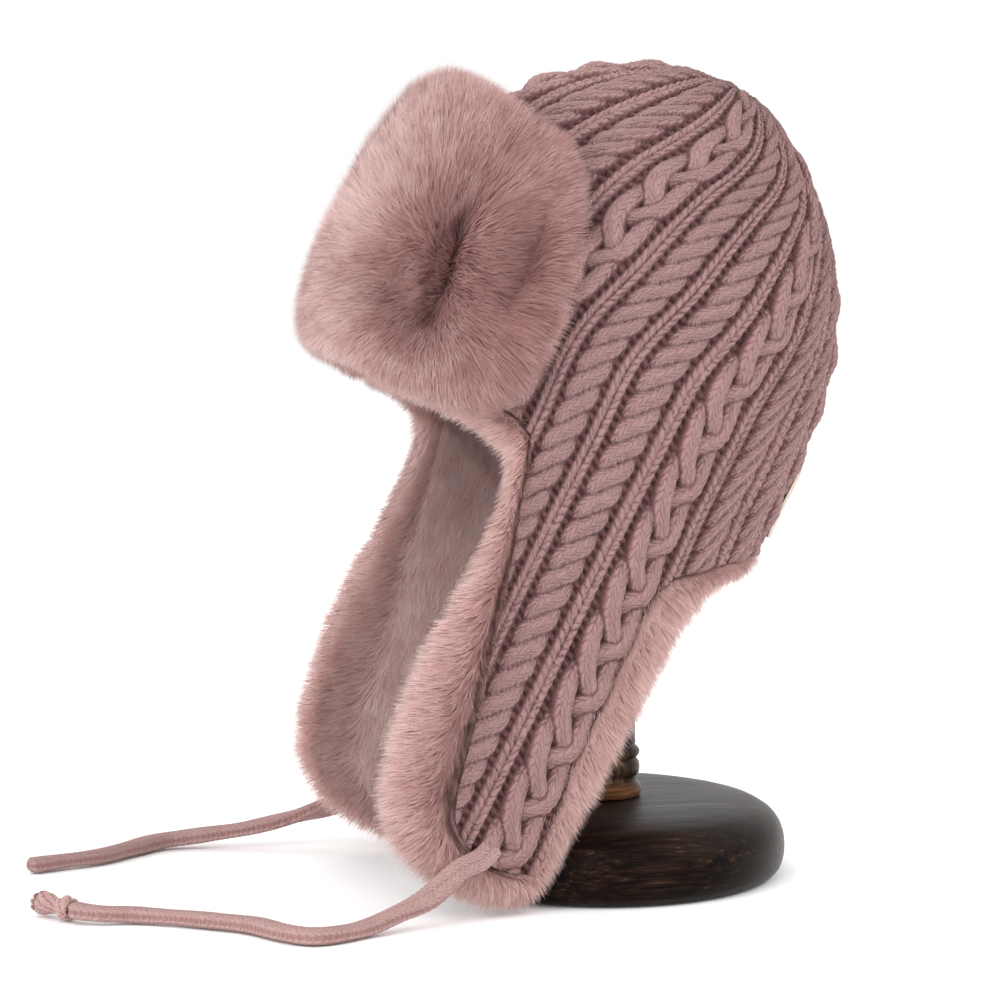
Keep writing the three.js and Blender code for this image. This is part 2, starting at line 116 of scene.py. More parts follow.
@dataclass(frozen=True)
class CableLay:
    """How a cable's strands lie.

    Widths, pitch and heights are millimetres; swing and strand are shares of the cable's half width.
    """

    nominal: float
    spread: float
    pitch: float
    swing: float
    strand: float
    lift: float
    dome: float
    square: float
    strands: int = 3


CABLES = {
    Cable.ROPE: CableLay(29.5, 0.295, 40.5, 0.5, 0.47, 1.7, 3.5, 1.0),
    Cable.BRAID: CableLay(36.0, 0.33, 84.0, 0.6, 0.39, 1.6, 4.3, 0.4),
}

# Columns of the knit: each starts at the middle of a rib of plain stitches, and holds one cable
COLUMN_STARTS = [-102.5, -77.5, -59.5, -41.5, -22, -7, 9.5, 30, 46, 62, 81.5, 98.5]
COLUMN_CABLES = [
    Cable.BRAID, Cable.ROPE, Cable.ROPE, Cable.BRAID, Cable.ROPE, Cable.ROPE,
    Cable.BRAID, Cable.ROPE, Cable.ROPE, Cable.BRAID, Cable.ROPE,
]


def smooth(at: Any, values: Any, x: Any) -> Array:
    """Read a smooth curve through a table's rows.

    Args:
        at: The rows' places, rising.
        values: The rows' values.
        x: Where to read the curve.

    Returns:
        The curve's values at x.
    """
    at, values, x = np.asarray(at, float), np.asarray(values, float), np.asarray(x, float)
    last = len(at) - 1
    low, high = np.maximum(np.arange(last + 1) - 1, 0), np.minimum(np.arange(last + 1) + 1, last)
    slope = (values[high] - values[low]) / (at[high] - at[low])
    i = np.searchsorted(at[1:-1], x, side="left")
    run = at[i + 1] - at[i]
    t = np.clip((x - at[i]) / run, 0, 1)
    p, q, m, n = values[i], values[i + 1], slope[i] * run, slope[i + 1] * run
    return p + t * (m + t * (3 * (q - p) - 2 * m - n + t * (2 * (p - q) + m + n)))


def ease(x: Any, low: float, high: float) -> Array:
    """Rise smoothly from 0 at low to 1 at high.

    Args:
        x: Where to read the curve.
        low: Where it starts to rise.
        high: Where it has risen.

    Returns:
        Values from 0 to 1.
    """
    t = np.clip((np.asarray(x, float) - low) / (high - low), 0, 1)
    return t * t * (3 - 2 * t)


def uneven(a: Array, b: Array) -> Array:
    """Give a hand's unevenness, between about -1 and 1, over lengths of 3 to 20 mm.

    Args:
        a: Place one way over the knitting.
        b: Place the other way.

    Returns:
        The unevenness at each place.
    """
    slow = np.sin(0.43 * a + 0.31 * b + 2 * np.sin(0.17 * b))
    slow = slow + np.sin(0.29 * b - 0.61 * a + 1.3 * np.sin(0.23 * a))
    return 0.35 * slow + 0.3 * np.sin(1.7 * a - 1.1 * b + 2 * np.sin(0.5 * b + 0.3 * a))


def unit(v: Array) -> Array:
    """Scale vectors to length 1."""
    return v / np.maximum(np.linalg.norm(v, axis=-1, keepdims=True), 1e-9)


def colour(code: str) -> tuple[float, float, float, float]:
    """Turn an sRGB hex colour into a linear one.

    Args:
        code: The colour, as # and six digits.

    Returns:
        Red, green, blue and alpha.
    """
    parts = [int(code[i : i + 2], 16) / 255 for i in (1, 3, 5)]
    linear = [c / 12.92 if c <= 0.04045 else ((c + 0.055) / 1.055) ** 2.4 for c in parts]
    return (*linear, 1.0)


def per_metre(size: float) -> float:
    """Give the scale of a pattern whose grain is so many millimetres wide."""
    return 1 / (size * MM)


def add_node(
    tree: bpy.types.NodeTree, kind: str, inputs: dict | None = None, **settings: Any
) -> bpy.types.Node:
    """Add a node with its settings and its inputs.

    Args:
        tree: The tree that takes the node.
        kind: The node's type name.
        inputs: Values or other nodes' sockets, by the input's name or number.
        **settings: The node's own properties.

    Returns:
        The new node.
    """
    node = tree.nodes.new(kind)
    for name, value in settings.items():
        setattr(node, name, value)
    for key, value in (inputs or {}).items():
        if isinstance(value, bpy.types.NodeSocket):
            tree.links.new(value, node.inputs[key])
        else:
            node.inputs[key].default_value = value
    return node


@dataclass(frozen=True)
class HatForm:
    """The hat's surface: level sections that hang from the crown's point."""

    tilt: float = math.radians(24)
    crown: tuple[float, float, float] = (0.0, 78.0, 383.0)
    knit: float = 5.0
    fur_top: float = -5.8
    fur_deep: tuple[float, float] = (11.0, 7.0)
    fur_thins: tuple[float, float] = (290.0, 370.0)
    core_depth: float = 100.0
    domed: tuple[float, float] = (4.4, 30.0)
    flat: tuple[float, float] = (200.0, 300.0)
    top_run: float = 80.0

    def section(self, depth: Array) -> tuple[Array, Array, Array, Array]:
        """Give the level sections at some depths.

        Args:
            depth: Depths below the crown's point.

        Returns:
            Middle, half length, half width and power of each section.
        """
        at, x = np.sqrt(SECTIONS["depth"]), np.sqrt(depth)
        front, back = smooth(at, SECTIONS["front"], x), smooth(at, SECTIONS["back"], x)
        power = 2 + ease(depth, *self.flat)
        return (front + back) / 2, (back - front) / 2, smooth(at, SECTIONS["half"], x), power

    def to_world(self, p: Array) -> Array:
        """Tilt points of the hat's frame back and hang them from the crown's point.

        Args:
            p: Points in the hat's own frame.

        Returns:
            World points in millimetres.
        """
        c, s = math.cos(self.tilt), math.sin(self.tilt)
        turned = np.stack([p[..., 0], p[..., 1] * c + p[..., 2] * s, -p[..., 1] * s + p[..., 2] * c], -1)
        return turned + np.array(self.crown)

    def on_hat(self, angle: Any, depth: Any, out: Any) -> Array:
        """Place points on the hat.

        Args:
            angle: Angles round the head, in radians.
            depth: Depths below the crown's point.
            out: How far the points stand out from the knit's mean surface.

        Returns:
            World points in millimetres.
        """
        angle, depth, out = np.broadcast_arrays(*(np.asarray(a, float) for a in (angle, depth, out)))
        middle, length, half, power = self.section(depth)
        fall = np.maximum(0, 1 - np.abs(np.sin(angle)) ** power)
        side = np.sign(np.cos(angle)) * half * fall ** (1 / power)
        rise = self.domed[0] * (1 - ease(depth, 0, self.domed[1]))
        p = np.stack([side, middle + length * np.sin(angle), rise - depth], -1)
        core_middle = self.section(np.array(self.core_depth))[0]
        low = depth >= self.core_depth
        core = np.stack(
            [0 * depth, np.where(low, middle, core_middle), np.where(low, -depth, -self.core_depth)], -1
        )
        return self.to_world(p + unit(p - core) * out[..., None])

    def on_column(self, column: Any, depth: Any, out: Any) -> Array:
        """Place points by stitch column, which drifts round the head with depth.

        Args:
            column: Stitch columns in degrees.
            depth: Depths below the crown's point.
            out: How far the points stand out.

        Returns:
            World points in millimetres.
        """
        column, depth = np.asarray(column, float), np.asarray(depth, float)
        turn = smooth(DRIFT["depth"], DRIFT["turn"], depth)
        return self.on_hat(np.radians(column + turn * np.cos(np.radians(column))), depth, out)

    def hem_depth(self, column: Any) -> Array:
        """Give the depth of the hem, or of the ear flap's root, below stitch columns.

        Args:
            column: Stitch columns in degrees.

        Returns:
            Depths below the crown's point.
        """
        column = np.asarray(column, float)
        knit, depth = EDGE["knit"], EDGE["knit_depth"]
        a, b = FLAP_START, FLAP_END
        front = smooth(knit[: a + 1], depth[: a + 1], np.minimum(column, knit[a]))
        back = smooth(knit[b:], depth[b:], np.maximum(column, knit[b]))
        root = depth[a] + (depth[b] - depth[a]) * (column - knit[a]) / (knit[b] - knit[a])
        return np.where(column <= knit[a], front, np.where(column >= knit[b], back, root))

    def on_edge(self, side: str, s: Any) -> tuple[Array, Array]:
        """Give column and depth of a place on the hem, counted in rows of its table.

        Args:
            side: Which edge: knit or fur.
            s: Places, in rows of the table.

        Returns:
            Columns and depths.
        """
        rows = np.arange(len(EDGE["knit"]))
        return smooth(rows, EDGE[side], s), smooth(rows, EDGE[f"{side}_depth"], s)

    def crown_depth(self, share: Array, hem: Array) -> Array:
        """Spread rows of the crown from its point to the hem, close together on the round top.

        Args:
            share: Shares of the way down.
            hem: Depths of the hem.

        Returns:
            Depths of the rows.
        """
        run = share * (hem + self.top_run / 2)
        return np.where(run < self.top_run, run * run / (2 * self.top_run), run - self.top_run / 2)

    def crown_grid(self, columns: Array, rows: int) -> tuple[Array, Array]:
        """Give columns and depths of a grid over the crown, without its point.

        Args:
            columns: Stitch columns in degrees.
            rows: How many rows.

        Returns:
            Columns and depths.
        """
        share = np.arange(1, rows + 1)[:, None] / rows
        depth = self.crown_depth(share, self.hem_depth(columns)[None])
        return np.broadcast_to(columns, depth.shape), depth

    def flap_grid(self, columns: Array, rows: int) -> tuple[Array, Array]:
        """Give columns and depths of a grid over an ear flap, from its root to its tip.

        Args:
            columns: Stitch columns from the flap's front to its back.
            rows: How many rows.

        Returns:
            Columns and depths.
        """
        a, b = EDGE["knit"][FLAP_START], EDGE["knit"][FLAP_END]
        across, down = ((columns - a) / (b - a))[None], (np.arange(rows + 1) / rows)[:, None]
        top = (a + (b - a) * across, self.hem_depth(columns)[None])
        tip = self.on_edge("knit", TIP_START + (TIP_END - TIP_START) * across)
        front = self.on_edge("knit", FLAP_START + (TIP_START - FLAP_START) * down)
        back = self.on_edge("knit", FLAP_END + (TIP_END - FLAP_END) * down)
        grid = []
        for i, key in enumerate(("knit", "knit_depth")):
            c = [EDGE[key][k] for k in (FLAP_START, FLAP_END, TIP_START, TIP_END)]
            sides = (1 - down) * top[i] + down * tip[i] + (1 - across) * front[i] + across * back[i]
            root, point = (1 - across) * c[0] + across * c[1], (1 - across) * c[2] + across * c[3]
            grid.append(sides - ((1 - down) * root + down * point))
        return grid[0], grid[1]

    def fur_inside(self, depth: Any) -> Array:
        """Give the offset of the lining's inner face."""
        thinner = (self.fur_deep[0] - self.fur_deep[1]) * ease(depth, *self.fur_thins)
        return self.fur_top - self.fur_deep[0] + thinner


HAT = HatForm()


@dataclass
class Skin:
    """A mesh in the making: points in millimetres with their own values, and faces."""

    vectors: tuple[str, ...] = ("comb", "stitch", "weave")
    points: list[Array] = field(default_factory=list)
    values: dict[str, list[Array]] = field(default_factory=dict)
    faces: list[Array] = field(default_factory=list)
    count: int = 0

    def add(self, points: Array, **values: Any) -> Array:
        """Add points with named values.

        Args:
            points: Points in millimetres, in any shape.
            **values: A value for all of them, or one for each.

        Returns:
            The points' numbers, in the same shape.
        """
        flat = points.reshape(-1, 3)
        for name, value in values.items():
            value = np.asarray(value, float)
            vector = value.ndim == points.ndim or name in self.vectors
            wide = points.shape[:-1] + ((value.shape[-1],) if vector else ())
            value = np.broadcast_to(value, wide)
            self.values.setdefault(name, []).append(value.reshape(len(flat), -1))
        self.points.append(flat)
        numbers = np.arange(self.count, self.count + len(flat)).reshape(points.shape[:-1])
        self.count += len(flat)
        return numbers

    def grid(self, rows: Array) -> None:
        """Fill a grid of numbered points with four-sided faces."""
        a, b, c, d = rows[:-1, :-1], rows[1:, :-1], rows[1:, 1:], rows[:-1, 1:]
        self.faces.extend(np.stack([a, b, c, d], -1).reshape(-1, 4))

    def fan(self, centre: int, line: Array) -> None:
        """Fill between one point and a line of points."""
        self.faces.extend([centre, line[i], line[i + 1]] for i in range(len(line) - 1))

    def strip(self, upper: Array, lower: Array) -> None:
        """Join two lines of points of any lengths, matching them by share of length.

        Args:
            upper: Numbers of the points of one line.
            lower: Numbers of the points of the other.
        """
        everything = np.concatenate(self.points)

        def shares(line: Array) -> Array:
            """Give each point's share of the line's length."""
            step = np.linalg.norm(np.diff(everything[line], axis=0), axis=1)
            return np.concatenate([[0], np.cumsum(step)]) / max(step.sum(), 1e-9)

        a, b, i, j = shares(upper), shares(lower), 0, 0
        while i < len(upper) - 1 or j < len(lower) - 1:
            if j == len(lower) - 1 or (i < len(upper) - 1 and a[i + 1] <= b[j + 1]):
                self.faces.append([upper[i], lower[j], upper[i + 1]])
                i += 1
            else:
                self.faces.append([upper[i], lower[j], lower[j + 1]])
                j += 1

    def drop_loose(self) -> None:
        """Leave out the points that no face uses."""
        used = np.unique(np.concatenate([np.ravel(face) for face in self.faces]))
        renumber = np.full(self.count, -1)
        renumber[used] = np.arange(len(used))
        self.points = [np.concatenate(self.points)[used]]
        self.values = {name: [np.concatenate(parts)[used]] for name, parts in self.values.items()}
        self.faces = [renumber[np.asarray(face)] for face in self.faces]
        self.count = len(used)

    def object(self, name: str, mirror: bool = False, uv: str | None = None) -> bpy.types.Object:
        """Make an object of the mesh.

        Args:
            name: The object's name.
            mirror: Whether to make the wearer's right half instead of the left.
            uv: The name of the values that become a UV map.

        Returns:
            The object, linked to the scene.
        """
        self.drop_loose()
        points = self.points[0] * MM
        faces = [list(map(int, f)) for f in self.faces]
        if mirror:
            points = points * [-1, 1, 1]
            faces = [f[::-1] for f in faces]
        mesh = bpy.data.meshes.new(name)
        mesh.from_pydata(points.tolist(), [], faces)
        mesh.polygons.foreach_set("use_smooth", [True] * len(faces))
        for key, parts in self.values.items():
            value = np.concatenate(parts)
            if key == uv:
                corner = np.empty(len(mesh.loops), int)
                mesh.loops.foreach_get("vertex_index", corner)
                mesh.uv_layers.new(name=key).data.foreach_set("uv", value[corner].ravel())
            elif value.shape[1] == 3:
                value = value * [-1, 1, 1] if mirror else value
                mesh.attributes.new(key, "FLOAT_VECTOR", "POINT").data.foreach_set("vector", value.ravel())
            else:
                mesh.attributes.new(key, "FLOAT", "POINT").data.foreach_set("value", value.ravel())
        mesh.validate()
        obj = bpy.data.objects.new(name, mesh)
        bpy.context.scene.collection.objects.link(obj)
        return obj


@dataclass(frozen=True)
class BulkyYarn:
    """Soft two-ply acrylic and wool yarn, hand-knitted: matt, with a bloom of fibre and painted shade in the
    gaps between stitches.

    The sizes of its patterns are millimetres, and the relief of a stitch is in metres.
    """

    name: str
    dark: str
    mid: str
    light: str
    relief: float = 0.0018
    wander: float = 3.846
    blotch: float = 18.18
    fuzz: float = 0.909
    roughness: float = 0.92

    def material(self) -> bpy.types.Material:
        """Build the material, which draws each stitch from the UV map `stitch`, a wale and a row a unit.

        Returns:
            The material.
        """
        mat = bpy.data.materials.new(self.name)
        mat.use_nodes = True
        tree = mat.node_tree
        tree.nodes.clear()
        uv = add_node(tree, "ShaderNodeUVMap", uv_map="stitch")
        xy = add_node(tree, "ShaderNodeSeparateXYZ", {0: uv.outputs[0]})
        wale = add_node(tree, "ShaderNodeMath", {0: xy.outputs[0]}, operation="FRACT")
        fold = add_node(
            tree, "ShaderNodeMath", {0: wale.outputs[0], 1: 2.0, 2: -1.0}, operation="MULTIPLY_ADD"
        )
        side = add_node(tree, "ShaderNodeMath", {0: fold.outputs[0]}, operation="ABSOLUTE")
        where = add_node(tree, "ShaderNodeTexCoord")
        wobble = add_node(
            tree, "ShaderNodeTexNoise", {
                "Vector": where.outputs["Object"], "Scale": per_metre(self.wander), "Detail": 1.0
            }
        )
        rough_row = add_node(
            tree, "ShaderNodeMath", {0: wobble.outputs[0], 1: 1.1, 2: xy.outputs[1]},
            operation="MULTIPLY_ADD"
        )
        climb = add_node(
            tree, "ShaderNodeMath", {0: rough_row.outputs[0], 1: side.outputs[0]}, operation="ADD"
        )
        row = add_node(tree, "ShaderNodeMath", {0: climb.outputs[0]}, operation="FRACT")
        turn = add_node(tree, "ShaderNodeMath", {0: row.outputs[0], 1: math.pi}, operation="MULTIPLY")
        leg = add_node(tree, "ShaderNodeMath", {0: turn.outputs[0]}, operation="SINE")
        across = add_node(
            tree, "ShaderNodeMath", {0: side.outputs[0], 1: 0.86 * math.pi, 2: 0.1 * math.pi},
            operation="MULTIPLY_ADD"
        )
        ridge = add_node(tree, "ShaderNodeMath", {0: across.outputs[0]}, operation="SINE")
        both = add_node(
            tree, "ShaderNodeMath", {0: leg.outputs[0], 1: ridge.outputs[0]}, operation="MULTIPLY"
        )
        round_leg = add_node(
            tree, "ShaderNodeMath", {0: both.outputs[0], 1: 0.8}, operation="POWER", use_clamp=True
        )
        spin = add_node(tree, "ShaderNodeMath", {0: climb.outputs[0], 1: 6.0}, operation="MULTIPLY")
        along = add_node(tree, "ShaderNodeMath", {0: side.outputs[0], 1: 2.2}, operation="MULTIPLY")
        place = add_node(
            tree, "ShaderNodeCombineXYZ", {0: spin.outputs[0], 1: along.outputs[0], 2: xy.outputs[0]}
        )
        fibre = add_node(
            tree, "ShaderNodeTexNoise", {
                "Vector": place.outputs[0], "Scale": 1.0, "Detail": 3.0, "Roughness": 0.7
            }
        )
        blotch = add_node(
            tree, "ShaderNodeTexNoise", {
                "Vector": where.outputs["Object"], "Scale": per_metre(self.blotch), "Detail": 3.0
            }
        )
        fuzz = add_node(
            tree, "ShaderNodeTexNoise", {
                "Vector": where.outputs["Object"], "Scale": per_metre(self.fuzz), "Detail": 4.0,
                "Roughness": 0.7
            }
        )
        calm = add_node(tree, "ShaderNodeAttribute", attribute_name="calm")
        full = add_node(
            tree, "ShaderNodeMath", {0: fibre.outputs[0], 1: 0.5, 2: round_leg.outputs[0]},
            operation="MULTIPLY_ADD"
        )
        height = add_node(
            tree, "ShaderNodeMath", {0: full.outputs[0], 1: calm.outputs["Fac"]}, operation="MULTIPLY"
        )
        height_fuzz = add_node(
            tree, "ShaderNodeMath", {0: fuzz.outputs[0], 1: 0.45, 2: height.outputs[0]},
            operation="MULTIPLY_ADD"
        )
        bump = add_node(
            tree, "ShaderNodeBump", {
                "Height": height_fuzz.outputs[0], "Strength": 1.0, "Distance": self.relief
            }
        )
        # Painted shade: the colour darkens where the mesh's painted light level is low and where the stitch
        # relief is low, in the gaps between stitches and strands.
        tone = add_node(tree, "ShaderNodeAttribute", attribute_name="tone")
        shade = add_node(
            tree, "ShaderNodeMath", {0: height.outputs[0], 1: 0.4, 2: tone.outputs["Fac"]},
            operation="MULTIPLY_ADD"
        )
        shade_blotch = add_node(
            tree, "ShaderNodeMath", {0: blotch.outputs[0], 1: 0.22, 2: shade.outputs[0]},
            operation="MULTIPLY_ADD"
        )
        mottle = add_node(
            tree, "ShaderNodeMath", {0: fuzz.outputs[0], 1: 0.5, 2: -0.25}, operation="MULTIPLY_ADD"
        )
        shade_all = add_node(
            tree, "ShaderNodeMath", {0: mottle.outputs[0], 1: shade_blotch.outputs[0]}, operation="ADD"
        )
        ramp = add_node(tree, "ShaderNodeValToRGB", {0: shade_all.outputs[0]})
        ramp.color_ramp.elements[0].position = 0.42
        ramp.color_ramp.elements[0].color = colour(self.dark)
        ramp.color_ramp.elements[1].position = 0.985
        ramp.color_ramp.elements[1].color = colour(self.light)
        ramp.color_ramp.elements.new(0.72).color = colour(self.mid)
        surface = add_node(
            tree,
            "ShaderNodeBsdfPrincipled",
            {
                "Base Color": ramp.outputs[0],
                "Roughness": self.roughness,
                "Specular IOR Level": 0.2,
                "Sheen Weight": 0.25,
                "Sheen Roughness": 0.5,
                "Normal": bump.outputs[0],
            },
        )
        surface.inputs["Sheen Tint"].default_value = colour("#e8cfca")
        add_node(tree, "ShaderNodeOutputMaterial", {0: surface.outputs[0]})
        return mat


@dataclass(frozen=True)
class FauxFur:
    """Deep modacrylic pile, soft and matt, with painted shade darkening it towards its roots and a painted
    highlight on its pale tips.
    """

    name: str
    root: str
    middle: str
    tip: str
    skin_share: float = 0.43
    glow: float = 0.4
    lock: float = 13.33
    roughness: float = 0.75

    def material(self) -> bpy.types.Material:
        """Build the material, which reads each strand's `rise`, `strand` and `skin` attributes.

        Returns:
            The material.
        """
        mat = bpy.data.materials.new(self.name)
        mat.use_nodes = True
        tree = mat.node_tree
        tree.nodes.clear()
        rise = add_node(tree, "ShaderNodeAttribute", attribute_name="rise")
        strand = add_node(tree, "ShaderNodeAttribute", attribute_name="strand")
        skin = add_node(tree, "ShaderNodeAttribute", attribute_name="skin")
        where = add_node(tree, "ShaderNodeTexCoord")
        lock = add_node(
            tree, "ShaderNodeTexNoise",
            {"Vector": where.outputs["Object"], "Scale": per_metre(self.lock), "Detail": 3.0}
        )
        climb = add_node(tree, "ShaderNodeMath", {0: rise.outputs["Fac"], 1: 0.45}, operation="MULTIPLY")
        lift = add_node(
            tree, "ShaderNodeMath", {0: strand.outputs["Fac"], 1: 0.14, 2: climb.outputs[0]},
            operation="MULTIPLY_ADD"
        )
        lift_lock = add_node(
            tree, "ShaderNodeMath", {0: lock.outputs[0], 1: 0.44, 2: lift.outputs[0]},
            operation="MULTIPLY_ADD"
        )
        # The backing's painted light and shade raises or lowers the colour of each strand.
        painted_light_level = add_node(tree, "ShaderNodeAttribute", attribute_name="pile_tone")
        lift_all = add_node(
            tree, "ShaderNodeMath", {0: painted_light_level.outputs["Fac"], 1: 1.0, 2: lift_lock.outputs[0]},
            operation="MULTIPLY_ADD"
        )
        # Painted shade and highlight: the colour is darkest at the roots, deep in the pile, and palest at
        # the tips.
        ramp = add_node(tree, "ShaderNodeValToRGB", {0: lift_all.outputs[0]})
        ramp.color_ramp.elements[0].position = 0.19
        ramp.color_ramp.elements[0].color = colour(self.root)
        ramp.color_ramp.elements[1].position = 1.0
        ramp.color_ramp.elements[1].color = colour(self.tip)
        ramp.color_ramp.elements.new(0.67).color = colour(self.middle)
        own = add_node(tree, "ShaderNodeNewGeometry")
        blend = add_node(
            tree,
            "ShaderNodeMix",
            {0: self.skin_share, 4: own.outputs["Normal"], 5: skin.outputs["Vector"]},
            data_type="VECTOR",
        )
        facing = add_node(tree, "ShaderNodeVectorMath", {0: blend.outputs[1]}, operation="NORMALIZE")
        surface = add_node(
            tree,
            "ShaderNodeBsdfPrincipled",
            {
                "Base Color": ramp.outputs[0],
                "Roughness": self.roughness,
                "Specular IOR Level": 0.25,
                "Sheen Weight": 0.3,
                "Sheen Roughness": 0.4,
                "Normal": facing.outputs[0],
            },
        )
        surface.inputs["Sheen Tint"].default_value = colour("#f0dcd8")
        through = add_node(
            tree, "ShaderNodeBsdfTranslucent", {"Color": ramp.outputs[0], "Normal": facing.outputs[0]}
        )
        both = add_node(
            tree, "ShaderNodeMixShader", {0: self.glow, 1: surface.outputs[0], 2: through.outputs[0]}
        )
        add_node(tree, "ShaderNodeOutputMaterial", {0: both.outputs[0]})
        return mat


@dataclass(frozen=True)
class StainedBeech:
    """Beech turned on a lathe, stained near black and rubbed: satin, with streaks and worn brown patches.

    The streak is the grain's size in millimetres along X, Y and Z, drawn coarser than beech's own so that
    it shows.
    """

    name: str
    stain: str
    worn: str
    rubbed: str
    wear: float
    streak: tuple[float, float, float]
    patch: float = 45.45

    def material(self) -> bpy.types.Material:
        """Build the material, with streaks along the piece's grain.

        Returns:
            The material.
        """
        mat = bpy.data.materials.new(self.name)
        mat.use_nodes = True
        tree = mat.node_tree
        tree.nodes.clear()
        where = add_node(tree, "ShaderNodeTexCoord")
        along = add_node(
            tree, "ShaderNodeMapping",
            {"Vector": where.outputs["Object"], "Scale": tuple(map(per_metre, self.streak))}
        )
        grain = add_node(
            tree, "ShaderNodeTexNoise",
            {"Vector": along.outputs[0], "Scale": 1.0, "Detail": 6.0, "Roughness": 0.65, "Distortion": 0.3},
        )
        patch = add_node(
            tree, "ShaderNodeTexNoise",
            {
                "Vector": where.outputs["Object"], "Scale": per_metre(self.patch), "Detail": 4.0,
                "Roughness": 0.6
            },
        )
        pores = add_node(
            tree, "ShaderNodeTexNoise", {
                "Vector": along.outputs[0], "Scale": 4.0, "Detail": 3.0, "Roughness": 0.7
            }
        )
        mixed = add_node(
            tree, "ShaderNodeMath", {0: patch.outputs[0], 1: 0.35, 2: grain.outputs[0]},
            operation="MULTIPLY_ADD"
        )
        shade = add_node(tree, "ShaderNodeMath", {0: mixed.outputs[0], 1: self.wear}, operation="ADD")
        ramp = add_node(tree, "ShaderNodeValToRGB", {0: shade.outputs[0]})
        ramp.color_ramp.elements[0].position = 0.56
        ramp.color_ramp.elements[0].color = colour(self.stain)
        ramp.color_ramp.elements[1].position = 0.97
        ramp.color_ramp.elements[1].color = colour(self.rubbed)
        ramp.color_ramp.elements.new(0.74).color = colour(self.worn)
        edge = add_node(tree, "ShaderNodeLayerWeight", {0: 0.4})
        shine = add_node(tree, "ShaderNodeMath", {0: edge.outputs[1], 1: 3.0}, operation="POWER")
        gloss = add_node(
            tree, "ShaderNodeMath", {0: shine.outputs[0], 1: 0.9, 2: 0.06}, operation="MULTIPLY_ADD"
        )
        rough = add_node(
            tree, "ShaderNodeMapRange", {0: grain.outputs[0], 1: 0.3, 2: 0.7, 3: 0.34, 4: 0.55}
        )
        bump = add_node(
            tree, "ShaderNodeBump", {"Height": pores.outputs[0], "Strength": 0.35, "Distance": 0.0003}
        )
        surface = add_node(
            tree,
            "ShaderNodeBsdfPrincipled",
            {
                "Base Color": ramp.outputs[0],
                "Roughness": rough.outputs[0],
                "Specular IOR Level": gloss.outputs[0],
                "Normal": bump.outputs[0],
            },
        )
        add_node(tree, "ShaderNodeOutputMaterial", {0: surface.outputs[0]})
        return mat


@dataclass(frozen=True)
class WovenTape:
    """Polyester satin tape: fine even weave, a slight shine, and painted shade on its back and lower edges.
    """

    name: str
    face: str
    back: str
    thread: float = 0.5
    soil: float = 8.333

    def material(self) -> bpy.types.Material:
        """Build the material; the weave is drawn at half a millimetre a thread so that it shows.

        Returns:
            The material.
        """
        mat = bpy.data.materials.new(self.name)
        mat.use_nodes = True
        tree = mat.node_tree
        tree.nodes.clear()
        where = add_node(tree, "ShaderNodeTexCoord")
        cloth = add_node(tree, "ShaderNodeUVMap", uv_map="weave")
        weave = add_node(
            tree, "ShaderNodeTexChecker", {"Vector": cloth.outputs[0], "Scale": per_metre(self.thread)}
        )
        side = add_node(tree, "ShaderNodeAttribute", attribute_name="tone")
        soil = add_node(
            tree, "ShaderNodeTexNoise",
            {"Vector": where.outputs["Object"], "Scale": per_metre(self.soil), "Detail": 3.0}
        )
        amount = add_node(
            tree, "ShaderNodeMath", {0: soil.outputs[0], 1: 0.12, 2: side.outputs["Fac"]},
            operation="MULTIPLY_ADD"
        )
        ramp = add_node(tree, "ShaderNodeValToRGB", {0: amount.outputs[0]})
        # The dark colour given as back is painted shade under the tag.
        ramp.color_ramp.elements[0].color = colour(self.back)
        ramp.color_ramp.elements[1].color = colour(self.face)
        bump = add_node(
            tree, "ShaderNodeBump", {"Height": weave.outputs[1], "Strength": 0.3, "Distance": 0.0001}
        )
        surface = add_node(
            tree, "ShaderNodeBsdfPrincipled",
            {
                "Base Color": ramp.outputs[0], "Roughness": 0.6, "Sheen Weight": 0.2,
                "Normal": bump.outputs[0]
            },
        )
        add_node(tree, "ShaderNodeOutputMaterial", {0: surface.outputs[0]})
        return mat


@dataclass(frozen=True)
class PlainGround:
    """Matt white paper sweep under the object."""

    name: str = "white_sweep"
    shade: str = "#ffffff"
    roughness: float = 0.9
    specular: float = 0.1

    def material(self) -> bpy.types.Material:
        """Build the material.

        Returns:
            The material.
        """
        mat = bpy.data.materials.new(self.name)
        mat.use_nodes = True
        surface = mat.node_tree.nodes["Principled BSDF"]
        surface.inputs["Base Color"].default_value = colour(self.shade)
        surface.inputs["Roughness"].default_value = self.roughness
        surface.inputs["Specular IOR Level"].default_value = self.specular
        return mat


@dataclass(frozen=True)
class Softbox:
    """A square lamp: where it hangs and its side in metres, and its power in watts."""

    place: tuple[float, float, float]
    side: float
    power: float


